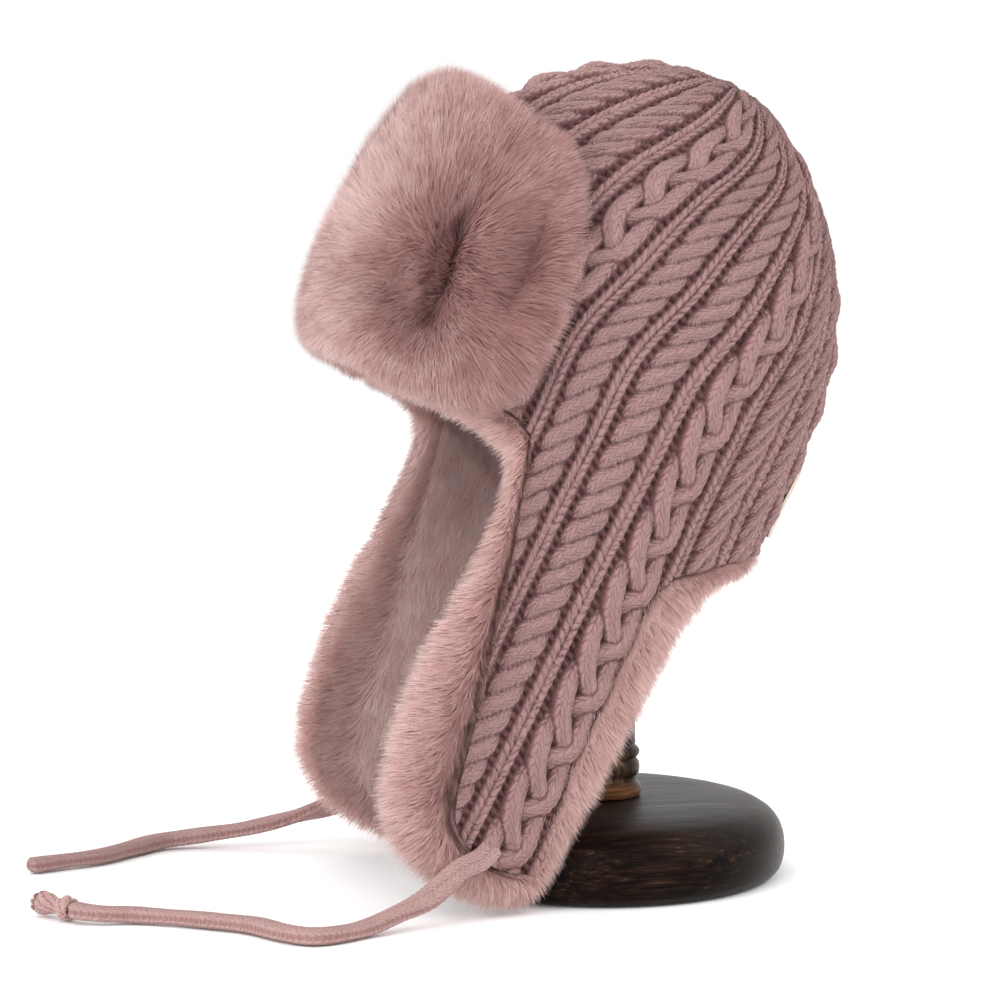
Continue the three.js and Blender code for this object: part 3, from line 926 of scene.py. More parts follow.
@dataclass
class StudioCamera:
    """The camera at the photograph's angle, the soft lights and the ground."""

    azimuth: float = 73.0
    elevation: float = 7.0
    distance: float = 2.0
    target: tuple[float, float, float] = (-0.01479, -0.04836, 0.18853)
    lens: float = 144.0
    sky: float = 1.0
    lamps: tuple[Softbox, ...] = (
        Softbox((1.3, -1.3, 1.9), 1.4, 19.0),
        Softbox((0.9, 1.5, 1.5), 1.2, 18.0),
        Softbox((-1.6, -0.4, 1.3), 1.4, 9.0),
        Softbox((0.5, -1.9, 0.6), 1.2, 12.5),
    )
    lit: tuple[float, float, float] = (0, -0.03, 0.2)
    sensor: float = 36.0
    sweep_half: float = 8.0

    def build(self) -> None:
        """Place the camera, the lights and the white sweep."""
        scene = bpy.context.scene
        az, el = math.radians(self.azimuth), math.radians(self.elevation)
        back = Vector((math.sin(az) * math.cos(el), -math.cos(az) * math.cos(el), math.sin(el)))
        camera = bpy.data.objects.new("camera", bpy.data.cameras.new("camera"))
        camera.data.lens = self.lens
        camera.data.sensor_width = self.sensor
        camera.data.clip_end = 30.0
        camera.location = Vector(self.target) + back * self.distance
        camera.rotation_euler = back.to_track_quat("Z", "Y").to_euler()
        scene.collection.objects.link(camera)
        scene.camera = camera
        scene.view_settings.view_transform = "Standard"
        scene.view_settings.look = "None"
        world = bpy.data.worlds.new("studio")
        world.use_nodes = True
        world.node_tree.nodes["Background"].inputs[0].default_value = (1.0, 1.0, 1.0, 1.0)
        world.node_tree.nodes["Background"].inputs[1].default_value = self.sky
        scene.world = world
        for i, box in enumerate(self.lamps):
            lamp = bpy.data.objects.new(f"softbox_{i}", bpy.data.lights.new(f"softbox_{i}", "AREA"))
            lamp.data.size = box.side
            lamp.data.energy = box.power
            lamp.location = box.place
            aim = Vector(box.place) - Vector(self.lit)
            lamp.rotation_euler = aim.to_track_quat("Z", "Y").to_euler()
            scene.collection.objects.link(lamp)
        sweep = bpy.data.meshes.new("sweep")
        wide = self.sweep_half
        corners = [(-wide, -wide, 0), (wide, -wide, 0), (wide, wide, 0), (-wide, wide, 0)]
        sweep.from_pydata(corners, [], [(0, 1, 2, 3)])
        ground = bpy.data.objects.new("sweep", sweep)
        ground.data.materials.append(PlainGround().material())
        scene.collection.objects.link(ground)


@dataclass
class CableKnit:
    """The knitted shell: crown and both ear flaps, in ribs, ropes and braids."""

    row: float = 4.7
    gather: float = 4.0
    rib_half: float = 4.0
    counts: tuple[int, int, int] = (119, 90, 104)
    crown_rows: int = 228
    flap_rows: int = 176
    inner_counts: tuple[int, int, int] = (20, 16, 18)
    inner_rows: tuple[int, int] = (24, 18)

    def columns(self, counts: tuple[int, int, int]) -> Array:
        """Spread stitch columns over the brow, the ear flap and the nape.

        Args:
            counts: How many steps each of the three takes.

        Returns:
            Columns in degrees, from brow to nape.
        """
        a, b = EDGE["knit"][FLAP_START], EDGE["knit"][FLAP_END]
        parts = [
            np.linspace(-90, a, counts[0] + 1), np.linspace(a, b, counts[1] + 1),
            np.linspace(b, 90, counts[2] + 1)
        ]
        return np.concatenate([parts[0], parts[1][1:], parts[2][1:]])

    def strands(self, x: Array, v: Array, half: Array, kind: Cable) -> tuple[Array, Array, Array, Array]:
        """Lay a cable's strands over and under each other.

        Args:
            x: Distance from the cable's middle line.
            v: Distance along the column.
            half: Half the cable's width there.
            kind: Which cable it is.

        Returns:
            Height, place across the top strand from -1 to 1, distance along it, and how open a crease is.
        """
        lay = CABLES[kind]
        pitch, swing, square = lay.pitch, lay.swing, lay.square
        steep = swing * 9.5 * 2 * math.pi / pitch
        best, across, along, second = (np.full(x.shape, -9.0) for _ in range(4))
        for k in range(lay.strands):
            turn = 2 * math.pi * (k / lay.strands - v / pitch)
            sine, cosine = np.sin(turn), np.cos(turn)
            spread = np.sqrt(sine**2 + square * cosine**2)
            slope = swing * half * 2 * math.pi / pitch * cosine * square / spread**3
            lean = 1 / np.sqrt(1 + slope**2)
            q = (x - swing * half * sine / spread) * lean / (lay.strand * half)
            high = lay.lift * (cosine if kind is Cable.ROPE else np.sin(2 * turn) - 0.55 * cosine)
            top = high + lay.dome * np.sqrt(np.maximum(0, 1 - q**2)) - 6 * np.maximum(0, np.abs(q) - 1)
            first = top > best
            second = np.where(first, best, np.maximum(second, top))
            run = v * (1 + steep**2 / 4) - steep**2 * pitch / (16 * math.pi) * np.sin(2 * turn)
            across, along = np.where(first, q, across), np.where(first, run + 7 * k, along)
            best = np.where(first, top, best)
        return best, across, along, np.clip((best - second) / 1.1, 0, 1)

    def relief(
        self, column: Array, depth: Array, v: Array, mirror: bool
    ) -> tuple[Array, Array, Array, Array]:
        """Work out the knit's relief.

        Args:
            column: Stitch columns in degrees.
            depth: Depths below the crown's point.
            v: Distance along the column from the hem line.
            mirror: Whether this is the wearer's right half, where a cable's twist doesn't mirror.

        Returns:
            Height, UV of the stitches, a painted light level from 0 in a gap, as painted shade, to 1 on a
            crest, and how far stitches show.
        """
        starts = np.array(COLUMN_STARTS)
        i = np.clip(np.searchsorted(starts, column, side="right") - 1, 0, len(starts) - 2)
        wide = starts[i + 1] - starts[i]
        t = (column - starts[i]) / wide
        step = np.linalg.norm(
            HAT.on_column(column + 0.5, depth, 0) - HAT.on_column(column - 0.5, depth, 0), axis=-1
        )
        local = wide * step
        braid = np.isin(i, [k for k, c in enumerate(COLUMN_CABLES) if c is Cable.BRAID])
        nominal = np.where(braid, CABLES[Cable.BRAID].nominal, CABLES[Cable.ROPE].nominal)
        scale = np.clip(local / nominal, 0.08, 1.15)
        x = (t - 0.5) * local * (-1 if mirror else 1)
        rib_x = np.minimum(t, 1 - t) * local
        e = np.clip(rib_x / (self.rib_half * scale), 0, 1.4)
        rows = v / self.row + 0.05 * uneven(x, v)
        leg = np.abs(np.sin(math.pi * (rows + 0.85 * e)))
        profile = np.sin(math.pi * np.clip(0.05 + 0.95 * e, 0, 1)) ** 0.5
        rib = -1.9 + 3.6 * profile * (0.5 + 0.5 * leg**0.6)
        bars = 0.5 + 0.5 * np.cos(2 * math.pi * rows)
        ground = -2.5 + 1.8 * bars
        rope = self.strands(x, v, CABLES[Cable.ROPE].spread * local, Cable.ROPE)
        plait = self.strands(x, v, CABLES[Cable.BRAID].spread * local, Cable.BRAID)
        top, across, along, crease = (np.where(braid, b, a) for a, b in zip(rope, plait))
        fold = np.abs(2 * ((0.5 + across) % 1) - 1)
        knot = np.abs(np.sin(math.pi * (along / self.row + 0.8 * fold)))
        knot = knot * np.sin(math.pi * (0.1 + 0.86 * fold))
        cable = -1.7 + top + 0.7 * (knot - 0.5) + 0.25 * uneven(v, x)
        height = np.maximum(np.maximum(ground, rib), cable)
        on_rib, on_cable = (rib >= ground) & (rib >= cable) & (e < 1), cable > np.maximum(ground, rib)
        u = np.where(on_cable, 0.5 + across, np.where(on_rib, 0.5 + 0.5 * np.where(t < 0.5, e, -e), 0.02))
        w = np.where(on_cable, along / self.row, rows)
        edge = np.where(on_cable, np.sqrt(np.clip(1 - across**2, 0, 1)) * (0.3 + 0.7 * crease), 1)
        # Painted light and shade: the colour level falls with the relief, at the strands' edges and creases
        # and between stitch legs, where shade falls.
        tone = np.clip((height + 2.6) / 4.8, 0, 1) * (0.45 + 0.55 * edge) * (0.8 + 0.35 * knot)
        tone = np.where(on_rib, 0.2 + 0.62 * leg * profile, tone)
        tone = np.where(on_cable | on_rib, tone, 0.1 + 0.5 * bars)
        flat = ease(scale, 0.05, 0.75)
        near_pole = np.exp(-(((np.sqrt(depth) - 0.5) / 0.3) ** 2))
        gather = self.gather * near_pole * np.clip(-np.sin(np.radians(column + 45)), 0, 1)
        calm = np.where(on_cable, crease * np.clip(1.3 - across**2, 0, 1), np.where(on_rib, 1.0, 0.0))
        return height * (0.25 + 0.75 * flat) - 0.3 + gather, np.stack([u, w], -1), 0.31 + 0.4 * tone, calm

    def half(self, name: str, mirror: bool) -> bpy.types.Object:
        """Build half of the shell: the knitted face, the rolled hem, and the plain back of the knitting.

        Args:
            name: The half's name.
            mirror: Whether it is the wearer's right half.

        Returns:
            The half's object.
        """
        skin = Skin()
        columns = self.columns(self.counts)
        first, last = self.counts[0], self.counts[0] + self.counts[1]
        c, d = HAT.crown_grid(columns, self.crown_rows)
        base = HAT.on_column(c, d, 0)
        step = np.linalg.norm(np.diff(base, axis=0), axis=-1)
        v = -np.concatenate([np.cumsum(step[::-1], axis=0)[::-1], np.zeros((1, len(columns)))])
        high, uv, tone, calm = self.relief(c, d, v, mirror)
        fc, fd = HAT.flap_grid(columns[first : last + 1], self.flap_rows)
        flap_high, flap_uv, flap_tone, flap_calm = self.relief(
            fc, fd, (fd - HAT.hem_depth(fc)) * 1.02, mirror
        )
        rim_fall = 1 - 0.7 * ease(-v, 2.2, 0)
        inside = (c > columns[first]) & (c < columns[last])
        high = np.where(inside, high, high * rim_fall)
        pole = skin.add(HAT.on_hat(0, 0, -1.5)[None], stitch=[[0.02, 0]], tone=[0.3], calm=[0])
        crown = skin.add(HAT.on_column(c, d, high), stitch=uv, tone=tone, calm=calm)
        flap_low = skin.add(
            HAT.on_column(fc[1:], fd[1:], flap_high[1:]), stitch=flap_uv[1:], tone=flap_tone[1:],
            calm=flap_calm[1:]
        )
        flap = np.vstack([crown[-1, first : last + 1][None], flap_low])
        skin.fan(pole[0], crown[0])
        skin.grid(crown)
        skin.grid(flap)
        rim = np.concatenate(
            [crown[-1, : first + 1], flap[1:-1, 0], flap[-1], flap[1:-1, -1][::-1], crown[-1, last:]]
        )
        rim_c = np.concatenate([c[-1, : first + 1], fc[1:-1, 0], fc[-1], fc[1:-1, -1][::-1], c[-1, last:]])
        rim_d = np.concatenate([d[-1, : first + 1], fd[1:-1, 0], fd[-1], fd[1:-1, -1][::-1], d[-1, last:]])
        loops = [rim]
        for out in (-1.8, -3.6, -HAT.knit):
            loops.append(skin.add(HAT.on_column(rim_c, rim_d, out), stitch=[0.3, 0.1], tone=0.5, calm=0))
        skin.grid(np.stack(loops))
        back_columns = self.columns(self.inner_counts)
        a, b = self.inner_counts[0], self.inner_counts[0] + self.inner_counts[1]
        bc, bd = HAT.crown_grid(back_columns, self.inner_rows[0])
        gc, gd = HAT.flap_grid(back_columns[a : b + 1], self.inner_rows[1])
        inner = skin.add(HAT.on_column(bc, bd, -HAT.knit), stitch=[0.3, 0.1], tone=0.25, calm=0)
        low = skin.add(HAT.on_column(gc[1:], gd[1:], -HAT.knit), stitch=[0.3, 0.1], tone=0.25, calm=0)
        inner_flap = np.vstack([inner[-1, a : b + 1][None], low])
        inner_pole = skin.add(HAT.on_hat(0, 0, -HAT.knit)[None], stitch=[[0.3, 0.1]], tone=[0.25], calm=[0])
        inner_rim = np.concatenate(
            [
                inner[-1, : a + 1], inner_flap[1:-1, 0], inner_flap[-1], inner_flap[1:-1, -1][::-1],
                inner[-1, b:]
            ]
        )
        skin.strip(loops[-1], inner_rim)
        skin.grid(inner[::-1])
        skin.grid(inner_flap[::-1])
        skin.fan(inner_pole[0], inner[0][::-1])
        return skin.object(name, mirror, uv="stitch")

    def dress(self, half: bpy.types.Object, yarn: bpy.types.Material) -> None:
        """Give half of the shell its yarn, say what it rides on, and hide the frame's knit shell that it
        replaces.

        Args:
            half: The knitted half.
            yarn: Its material.
        """
        half.data.materials.append(yarn)
        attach(half, "root")
        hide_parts("knit_shell")

    def build(self) -> list[bpy.types.Object]:
        """Build and dress both halves.

        Returns:
            The left and the right half.
        """
        yarn = BulkyYarn("bulky_rose_yarn", "#301617", "#7e5656", "#b08a88").material()
        halves = [self.half("knit_left", False), self.half("knit_right", True)]
        for half in halves:
            self.dress(half, yarn)
        return halves


@dataclass
class Pile:
    """Fur strands that Geometry Nodes plant on a backing: tapered blades, laid along the backing's comb."""

    tree: bpy.types.NodeTree | None = None
    blade: bpy.types.Object | None = None
    sockets: dict[str, str] = field(default_factory=dict)
    floor: float = 0.0003
    lock_scale: float = 70.0
    lock_pull: float = 2.6
    stray_pull: float = 0.55
    cut: tuple[float, float] = (0.62, 1.12)

    def make_blade(self) -> bpy.types.Object:
        """Build one strand of unit width and length: a single long triangle that leans towards +Y.

        Returns:
            The strand that is copied.
        """
        mesh = bpy.data.meshes.new("strand")
        mesh.from_pydata([(-0.5, 0, 0), (0.5, 0, 0), (0, 0.44, 0.94)], [], [(0, 1, 2)])
        mesh.attributes.new("rise", "FLOAT", "POINT").data.foreach_set("value", [0, 0, 1])
        blade = bpy.data.objects.new("strand", mesh)
        bpy.context.scene.collection.objects.link(blade)
        return blade

    def make_tree(self) -> bpy.types.NodeTree:
        """Build the node tree that plants, lays, cuts and tints the strands.

        Returns:
            The tree, with its inputs named in `sockets`.
        """
        tree = bpy.data.node_groups.new("plant_pile", "GeometryNodeTree")
        tree.interface.new_socket("Geometry", in_out="OUTPUT", socket_type="NodeSocketGeometry")
        tree.interface.new_socket("Geometry", in_out="INPUT", socket_type="NodeSocketGeometry")
        for name, kind in (
            ("Strand", "NodeSocketObject"), ("Density", "NodeSocketFloat"), ("Length", "NodeSocketFloat"),
            ("Width", "NodeSocketFloat"), ("Lay", "NodeSocketFloat"), ("Wild", "NodeSocketFloat"),
            ("Seed", "NodeSocketInt"), ("Material", "NodeSocketMaterial"),
        ):
            socket = tree.interface.new_socket(name, in_out="INPUT", socket_type=kind)
            self.sockets[name] = socket.identifier
        given = add_node(tree, "NodeGroupInput")
        dense = add_node(
            tree, "GeometryNodeInputNamedAttribute", {"Name": "pile_density"}, data_type="FLOAT"
        )
        share = add_node(
            tree, "ShaderNodeMath", {0: given.outputs["Density"], 1: dense.outputs[0]}, operation="MULTIPLY"
        )
        plant = add_node(
            tree,
            "GeometryNodeDistributePointsOnFaces",
            {"Mesh": given.outputs["Geometry"], "Density": share.outputs[0], "Seed": given.outputs["Seed"]},
            distribute_method="RANDOM",
        )
        comb = add_node(tree, "GeometryNodeInputNamedAttribute", {"Name": "comb"}, data_type="FLOAT_VECTOR")
        cut = add_node(tree, "GeometryNodeInputNamedAttribute", {"Name": "pile_length"}, data_type="FLOAT")
        spot = add_node(tree, "GeometryNodeInputPosition")
        wave = add_node(
            tree, "ShaderNodeTexNoise", {
                "Vector": spot.outputs[0], "Scale": self.lock_scale, "Detail": 2.0, "Roughness": 0.6
            }
        )
        centred = add_node(
            tree, "ShaderNodeVectorMath", {0: wave.outputs["Color"], 1: (0.5, 0.5, 0.5)},
            operation="SUBTRACT"
        )
        locks = add_node(
            tree, "ShaderNodeVectorMath", {0: centred.outputs[0], "Scale": self.lock_pull},
            operation="SCALE"
        )
        stray = add_node(
            tree,
            "FunctionNodeRandomValue",
            {0: (-1.0, -1.0, -1.0), 1: (1.0, 1.0, 1.0), "Seed": given.outputs["Seed"]},
            data_type="FLOAT_VECTOR",
        )
        stray_small = add_node(
            tree, "ShaderNodeVectorMath", {0: stray.outputs[0], "Scale": self.stray_pull}, operation="SCALE"
        )
        jitter = add_node(
            tree, "ShaderNodeVectorMath", {0: locks.outputs[0], 1: stray_small.outputs[0]}, operation="ADD"
        )
        wild = add_node(
            tree, "ShaderNodeVectorMath", {0: jitter.outputs[0], "Scale": given.outputs["Wild"]},
            operation="SCALE"
        )
        laid = add_node(
            tree, "ShaderNodeVectorMath", {0: comb.outputs[0], "Scale": given.outputs["Lay"]},
            operation="SCALE"
        )
        lean = add_node(
            tree, "ShaderNodeVectorMath", {0: plant.outputs["Normal"], 1: laid.outputs[0]}, operation="ADD"
        )
        aim = add_node(
            tree, "ShaderNodeVectorMath", {0: lean.outputs[0], 1: wild.outputs[0]}, operation="ADD"
        )
        bend = add_node(
            tree, "ShaderNodeVectorMath", {0: comb.outputs[0], 1: wild.outputs[0]}, operation="ADD"
        )
        stand = add_node(
            tree, "FunctionNodeAlignRotationToVector", {"Vector": aim.outputs[0]}, axis="Z",
            pivot_axis="AUTO"
        )
        turn = add_node(
            tree,
            "FunctionNodeAlignRotationToVector",
            {"Rotation": stand.outputs[0], "Vector": bend.outputs[0]},
            axis="Y",
            pivot_axis="Z",
        )
        vary = add_node(
            tree, "FunctionNodeRandomValue",
            {2: self.cut[0], 3: self.cut[1], "Seed": given.outputs["Seed"]}, data_type="FLOAT"
        )
        cut_share = add_node(
            tree, "ShaderNodeMath", {0: vary.outputs[1], 1: cut.outputs[0]}, operation="MULTIPLY"
        )
        strand_length = add_node(
            tree, "ShaderNodeMath", {0: cut_share.outputs[0], 1: given.outputs["Length"]},
            operation="MULTIPLY"
        )
        size = add_node(
            tree, "ShaderNodeCombineXYZ", {
                0: given.outputs["Width"], 1: strand_length.outputs[0], 2: strand_length.outputs[0]
            }
        )
        tint = add_node(tree, "FunctionNodeRandomValue", {2: -0.5, 3: 0.5, "Seed": 7}, data_type="FLOAT")
        keep_tint = add_node(
            tree,
            "GeometryNodeStoreNamedAttribute",
            {"Geometry": plant.outputs["Points"], "Name": "strand", "Value": tint.outputs[1]},
            data_type="FLOAT",
            domain="POINT",
        )
        keep_skin = add_node(
            tree,
            "GeometryNodeStoreNamedAttribute",
            {"Geometry": keep_tint.outputs[0], "Name": "skin", "Value": plant.outputs["Normal"]},
            data_type="FLOAT_VECTOR",
            domain="POINT",
        )
        strand = add_node(tree, "GeometryNodeObjectInfo", {"Object": given.outputs["Strand"]})
        grow = add_node(
            tree,
            "GeometryNodeInstanceOnPoints",
            {
                "Points": keep_skin.outputs[0],
                "Instance": strand.outputs["Geometry"],
                "Rotation": turn.outputs[0],
                "Scale": size.outputs[0],
            },
        )
        real = add_node(tree, "GeometryNodeRealizeInstances", {0: grow.outputs[0]})
        join = add_node(tree, "GeometryNodeJoinGeometry", {0: given.outputs["Geometry"]})
        tree.links.new(real.outputs[0], join.inputs[0])
        dress = add_node(
            tree, "GeometryNodeSetMaterial", {
                "Geometry": join.outputs[0], "Material": given.outputs["Material"]
            }
        )
        add_node(tree, "NodeGroupOutput", {0: dress.outputs[0]})
        return tree

    def plant(self, backing: bpy.types.Object, fur: bpy.types.Material, **inputs: float) -> None:
        """Grow the pile on a backing and keep the result as a plain mesh.

        Args:
            backing: The object whose mesh holds comb, pile_length and pile_density.
            fur: The strands' material.
            **inputs: Density per square metre, Length, Width, Lay, Wild and Seed.
        """
        if self.tree is None:
            self.blade, self.tree = self.make_blade(), self.make_tree()
        grow = backing.modifiers.new("pile", "NODES")
        grow.node_group = self.tree
        grow[self.sockets["Strand"]] = self.blade
        grow[self.sockets["Material"]] = fur
        for name, value in inputs.items():
            grow[self.sockets[name]] = value
        ready = backing.evaluated_get(bpy.context.evaluated_depsgraph_get())
        mesh = bpy.data.meshes.new_from_object(ready)
        backing.modifiers.clear()
        old, backing.data = backing.data, mesh
        bpy.data.meshes.remove(old)
        for name in ("comb", "pile_length", "pile_density"):
            if name in mesh.attributes:
                mesh.attributes.remove(mesh.attributes[name])
        place = np.empty(3 * len(mesh.vertices))
        mesh.vertices.foreach_get("co", place)
        place[2::3] = np.maximum(place[2::3], self.floor)
        mesh.vertices.foreach_set("co", place)
        mesh.update()

    def clear(self) -> None:
        """Remove the strand that was copied, once all pile is planted."""
        if self.blade is not None:
            bpy.data.objects.remove(self.blade)


@dataclass(frozen=True)
class Dent:
    """A hollow in the brow pad, or a ridge where it is negative: its place, spread and depth."""

    angle: float
    depth: float
    wide: float
    tall: float
    deep: float


@dataclass
class BrowFlap:
    """The deep fur pad turned up over the brow."""

    gap: float = 4.6
    lean: tuple[float, float] = (-12.0, 1.0)
    face_depth: float = 125.0
    squareness: float = 0.75
    inset: float = 9.5
    low_inset: float = 0.65
    end_inset: float = 7.0
    dents: tuple[Dent, ...] = (
        Dent(-63, 152, 15, 32, 8),
        Dent(-40, 122, 4.5, 28, 13),
        Dent(-49, 126, 4, 32, -7),
    )
    dimple: tuple[float, float, float] = (-62.0, 154.0, 24.0)
    rings: int = 64
    around: int = 72
    strands: float = 172000.0
    length: float = 0.0145

    def level(self, angle: Array, depth: Array, face_depth: Any, out: Any) -> Array:
        """Place points beside the head on the section at face_depth, level with a depth.

        Args:
            angle: Angles round the head, in radians.
            depth: Depths that the points are level with.
            face_depth: Depth of the section that gives the plan.
            out: How far the points stand out from it.

        Returns:
            World points in millimetres.
        """
        middle, length, half, _ = HAT.section(np.asarray(face_depth, float))
        x, y = half * np.cos(angle), length * np.sin(angle)
        grown = 1 + out / np.hypot(x, y)
        return HAT.to_world(np.stack([x * grown, middle + y * grown, -depth + 0 * x], -1))

    def backing(self) -> Skin:
        """Build the pad's skin, inset by the pile's height, with the way its fur lies.

        Returns:
            The skin of the wearer's left half.
        """
        rows = np.arange(len(BROW["angle"]))
        s = np.linspace(0, rows[-1], self.rings)
        angle, top, bottom, thick = (
            smooth(rows, BROW[k], s)[:, None] for k in ("angle", "top", "bottom", "thick")
        )
        turn = 2 * math.pi * np.arange(self.around + 1)[None] / self.around
        squared = [np.sign(f(turn)) * np.abs(f(turn)) ** self.squareness for f in (np.sin, np.cos)]
        outward = (1 + squared[0]) / 2
        angle = angle - self.end_inset * (1 - ease(s, 1, 4))[:, None]
        cut = np.minimum(self.inset, (bottom - top) * 0.3)
        cut = np.where(squared[1] > 0, cut, cut * self.low_inset)
        depth = (top + bottom) / 2 - ((bottom - top) / 2 - cut) * squared[1]
        dent = sum(
            d.deep * np.exp(-(((angle - d.angle) / d.wide) ** 2) - ((depth - d.depth) / d.tall) ** 2)
            for d in self.dents
        )
        lean = self.lean[0] + (self.lean[1] - self.lean[0]) * (depth - top) / (bottom - top)
        face = np.maximum(thick + lean * np.minimum(1, thick / 42) - self.inset, 2.0) + self.gap
        face = face + np.where(outward > 0.5, -dent, 0)
        inner = self.level(np.radians(angle) + 0 * depth, depth, depth, self.gap + 0.4)
        outer = self.level(np.radians(angle) + 0 * depth, depth, self.face_depth, face)
        points = inner + (outer - inner) * outward[..., None]
        at, low, proud = (np.array(value) for value in self.dimple)
        dimple = self.level(np.radians(at), low, self.face_depth, proud)
        near = points - dimple
        away = np.linalg.norm(near, axis=-1)
        middle = ease(points[..., 0], 0, 45)[..., None] * [1, 0, 0] + [0, 1, 1]
        comb = unit(near) * middle * (0.9 * ease(away, 4, 62))[..., None] + np.array([0, -0.05, -0.2])
        grow = ease(outward, 0.04, 0.3) * np.ones_like(depth)
        long = 0.85 + 0.15 * ease(away, 20, 70)
        # Painted light and shade on the pad's fur: darker in the dimple and the dents, lighter on the ridge,
        # towards the middle of the brow and towards the front that the lamps light, and a little darker on
        # top and on the inner side.
        hollow = np.clip(dent / 9, -0.25, 1) * (outward > 0.5)
        light = 0.19 * ease(away, 14, 90) + 0.06 * ease(points[..., 0], 70, 10) - 0.1 * hollow
        light = light + 0.26 * ease(-points[..., 1], 80, 130) - 0.02 * ease(points[..., 2], 335, 385)
        light = light - 0.05 * (1 - outward)
        skin = Skin()
        grid = skin.add(points, comb=comb, pile_length=long, pile_density=grow, pile_tone=light)
        skin.grid(grid)
        end = skin.add(
            points[0].mean(0)[None], comb=comb[0].mean(0)[None], pile_length=[0.8], pile_density=[1.0],
            pile_tone=[0.2],
        )
        skin.fan(end[0], grid[0])
        return skin

    def dress(self, pad: bpy.types.Object, pile: Pile) -> None:
        """Grow the pad's fur, say what it rides on, and hide the frame's brow flap that it replaces.

        Args:
            pad: The pad's skin.
            pile: What grows the fur.
        """
        fur = FauxFur("deep_rose_pile", "#8f5856", "#c59a96", "#eed5d1").material()
        pile.plant(
            pad, fur, Density=self.strands / surface_area(pad), Length=self.length, Width=0.00048, Lay=1.0,
            Wild=0.3, Seed=3,
        )
        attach(pad, "root")
        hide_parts("brow_flap")

    def build(self, pile: Pile) -> bpy.types.Object:
        """Build both halves of the pad as one piece and grow its fur.

        Args:
            pile: What grows the fur.

        Returns:
            The pad's object.
        """
        skin = self.backing()
        half, other = skin.object("brow_fur"), skin.object("brow_fur_right", mirror=True)
        bpy.ops.object.select_all(action="DESELECT")
        for obj in (half, other):
            obj.select_set(True)
        bpy.context.view_layer.objects.active = half
        bpy.ops.object.join()
        face_out(half)
        self.dress(half, pile)
        return half


def surface_area(obj: bpy.types.Object) -> float:
    """Sum the area that bears pile, weighted by its density.

    Args:
        obj: A skin with the attribute pile_density.

    Returns:
        Area in square metres.
    """
    dense = np.empty(len(obj.data.vertices))
    obj.data.attributes["pile_density"].data.foreach_get("value", dense)
    return sum(p.area * float(np.mean([dense[i] for i in p.vertices])) for p in obj.data.polygons)


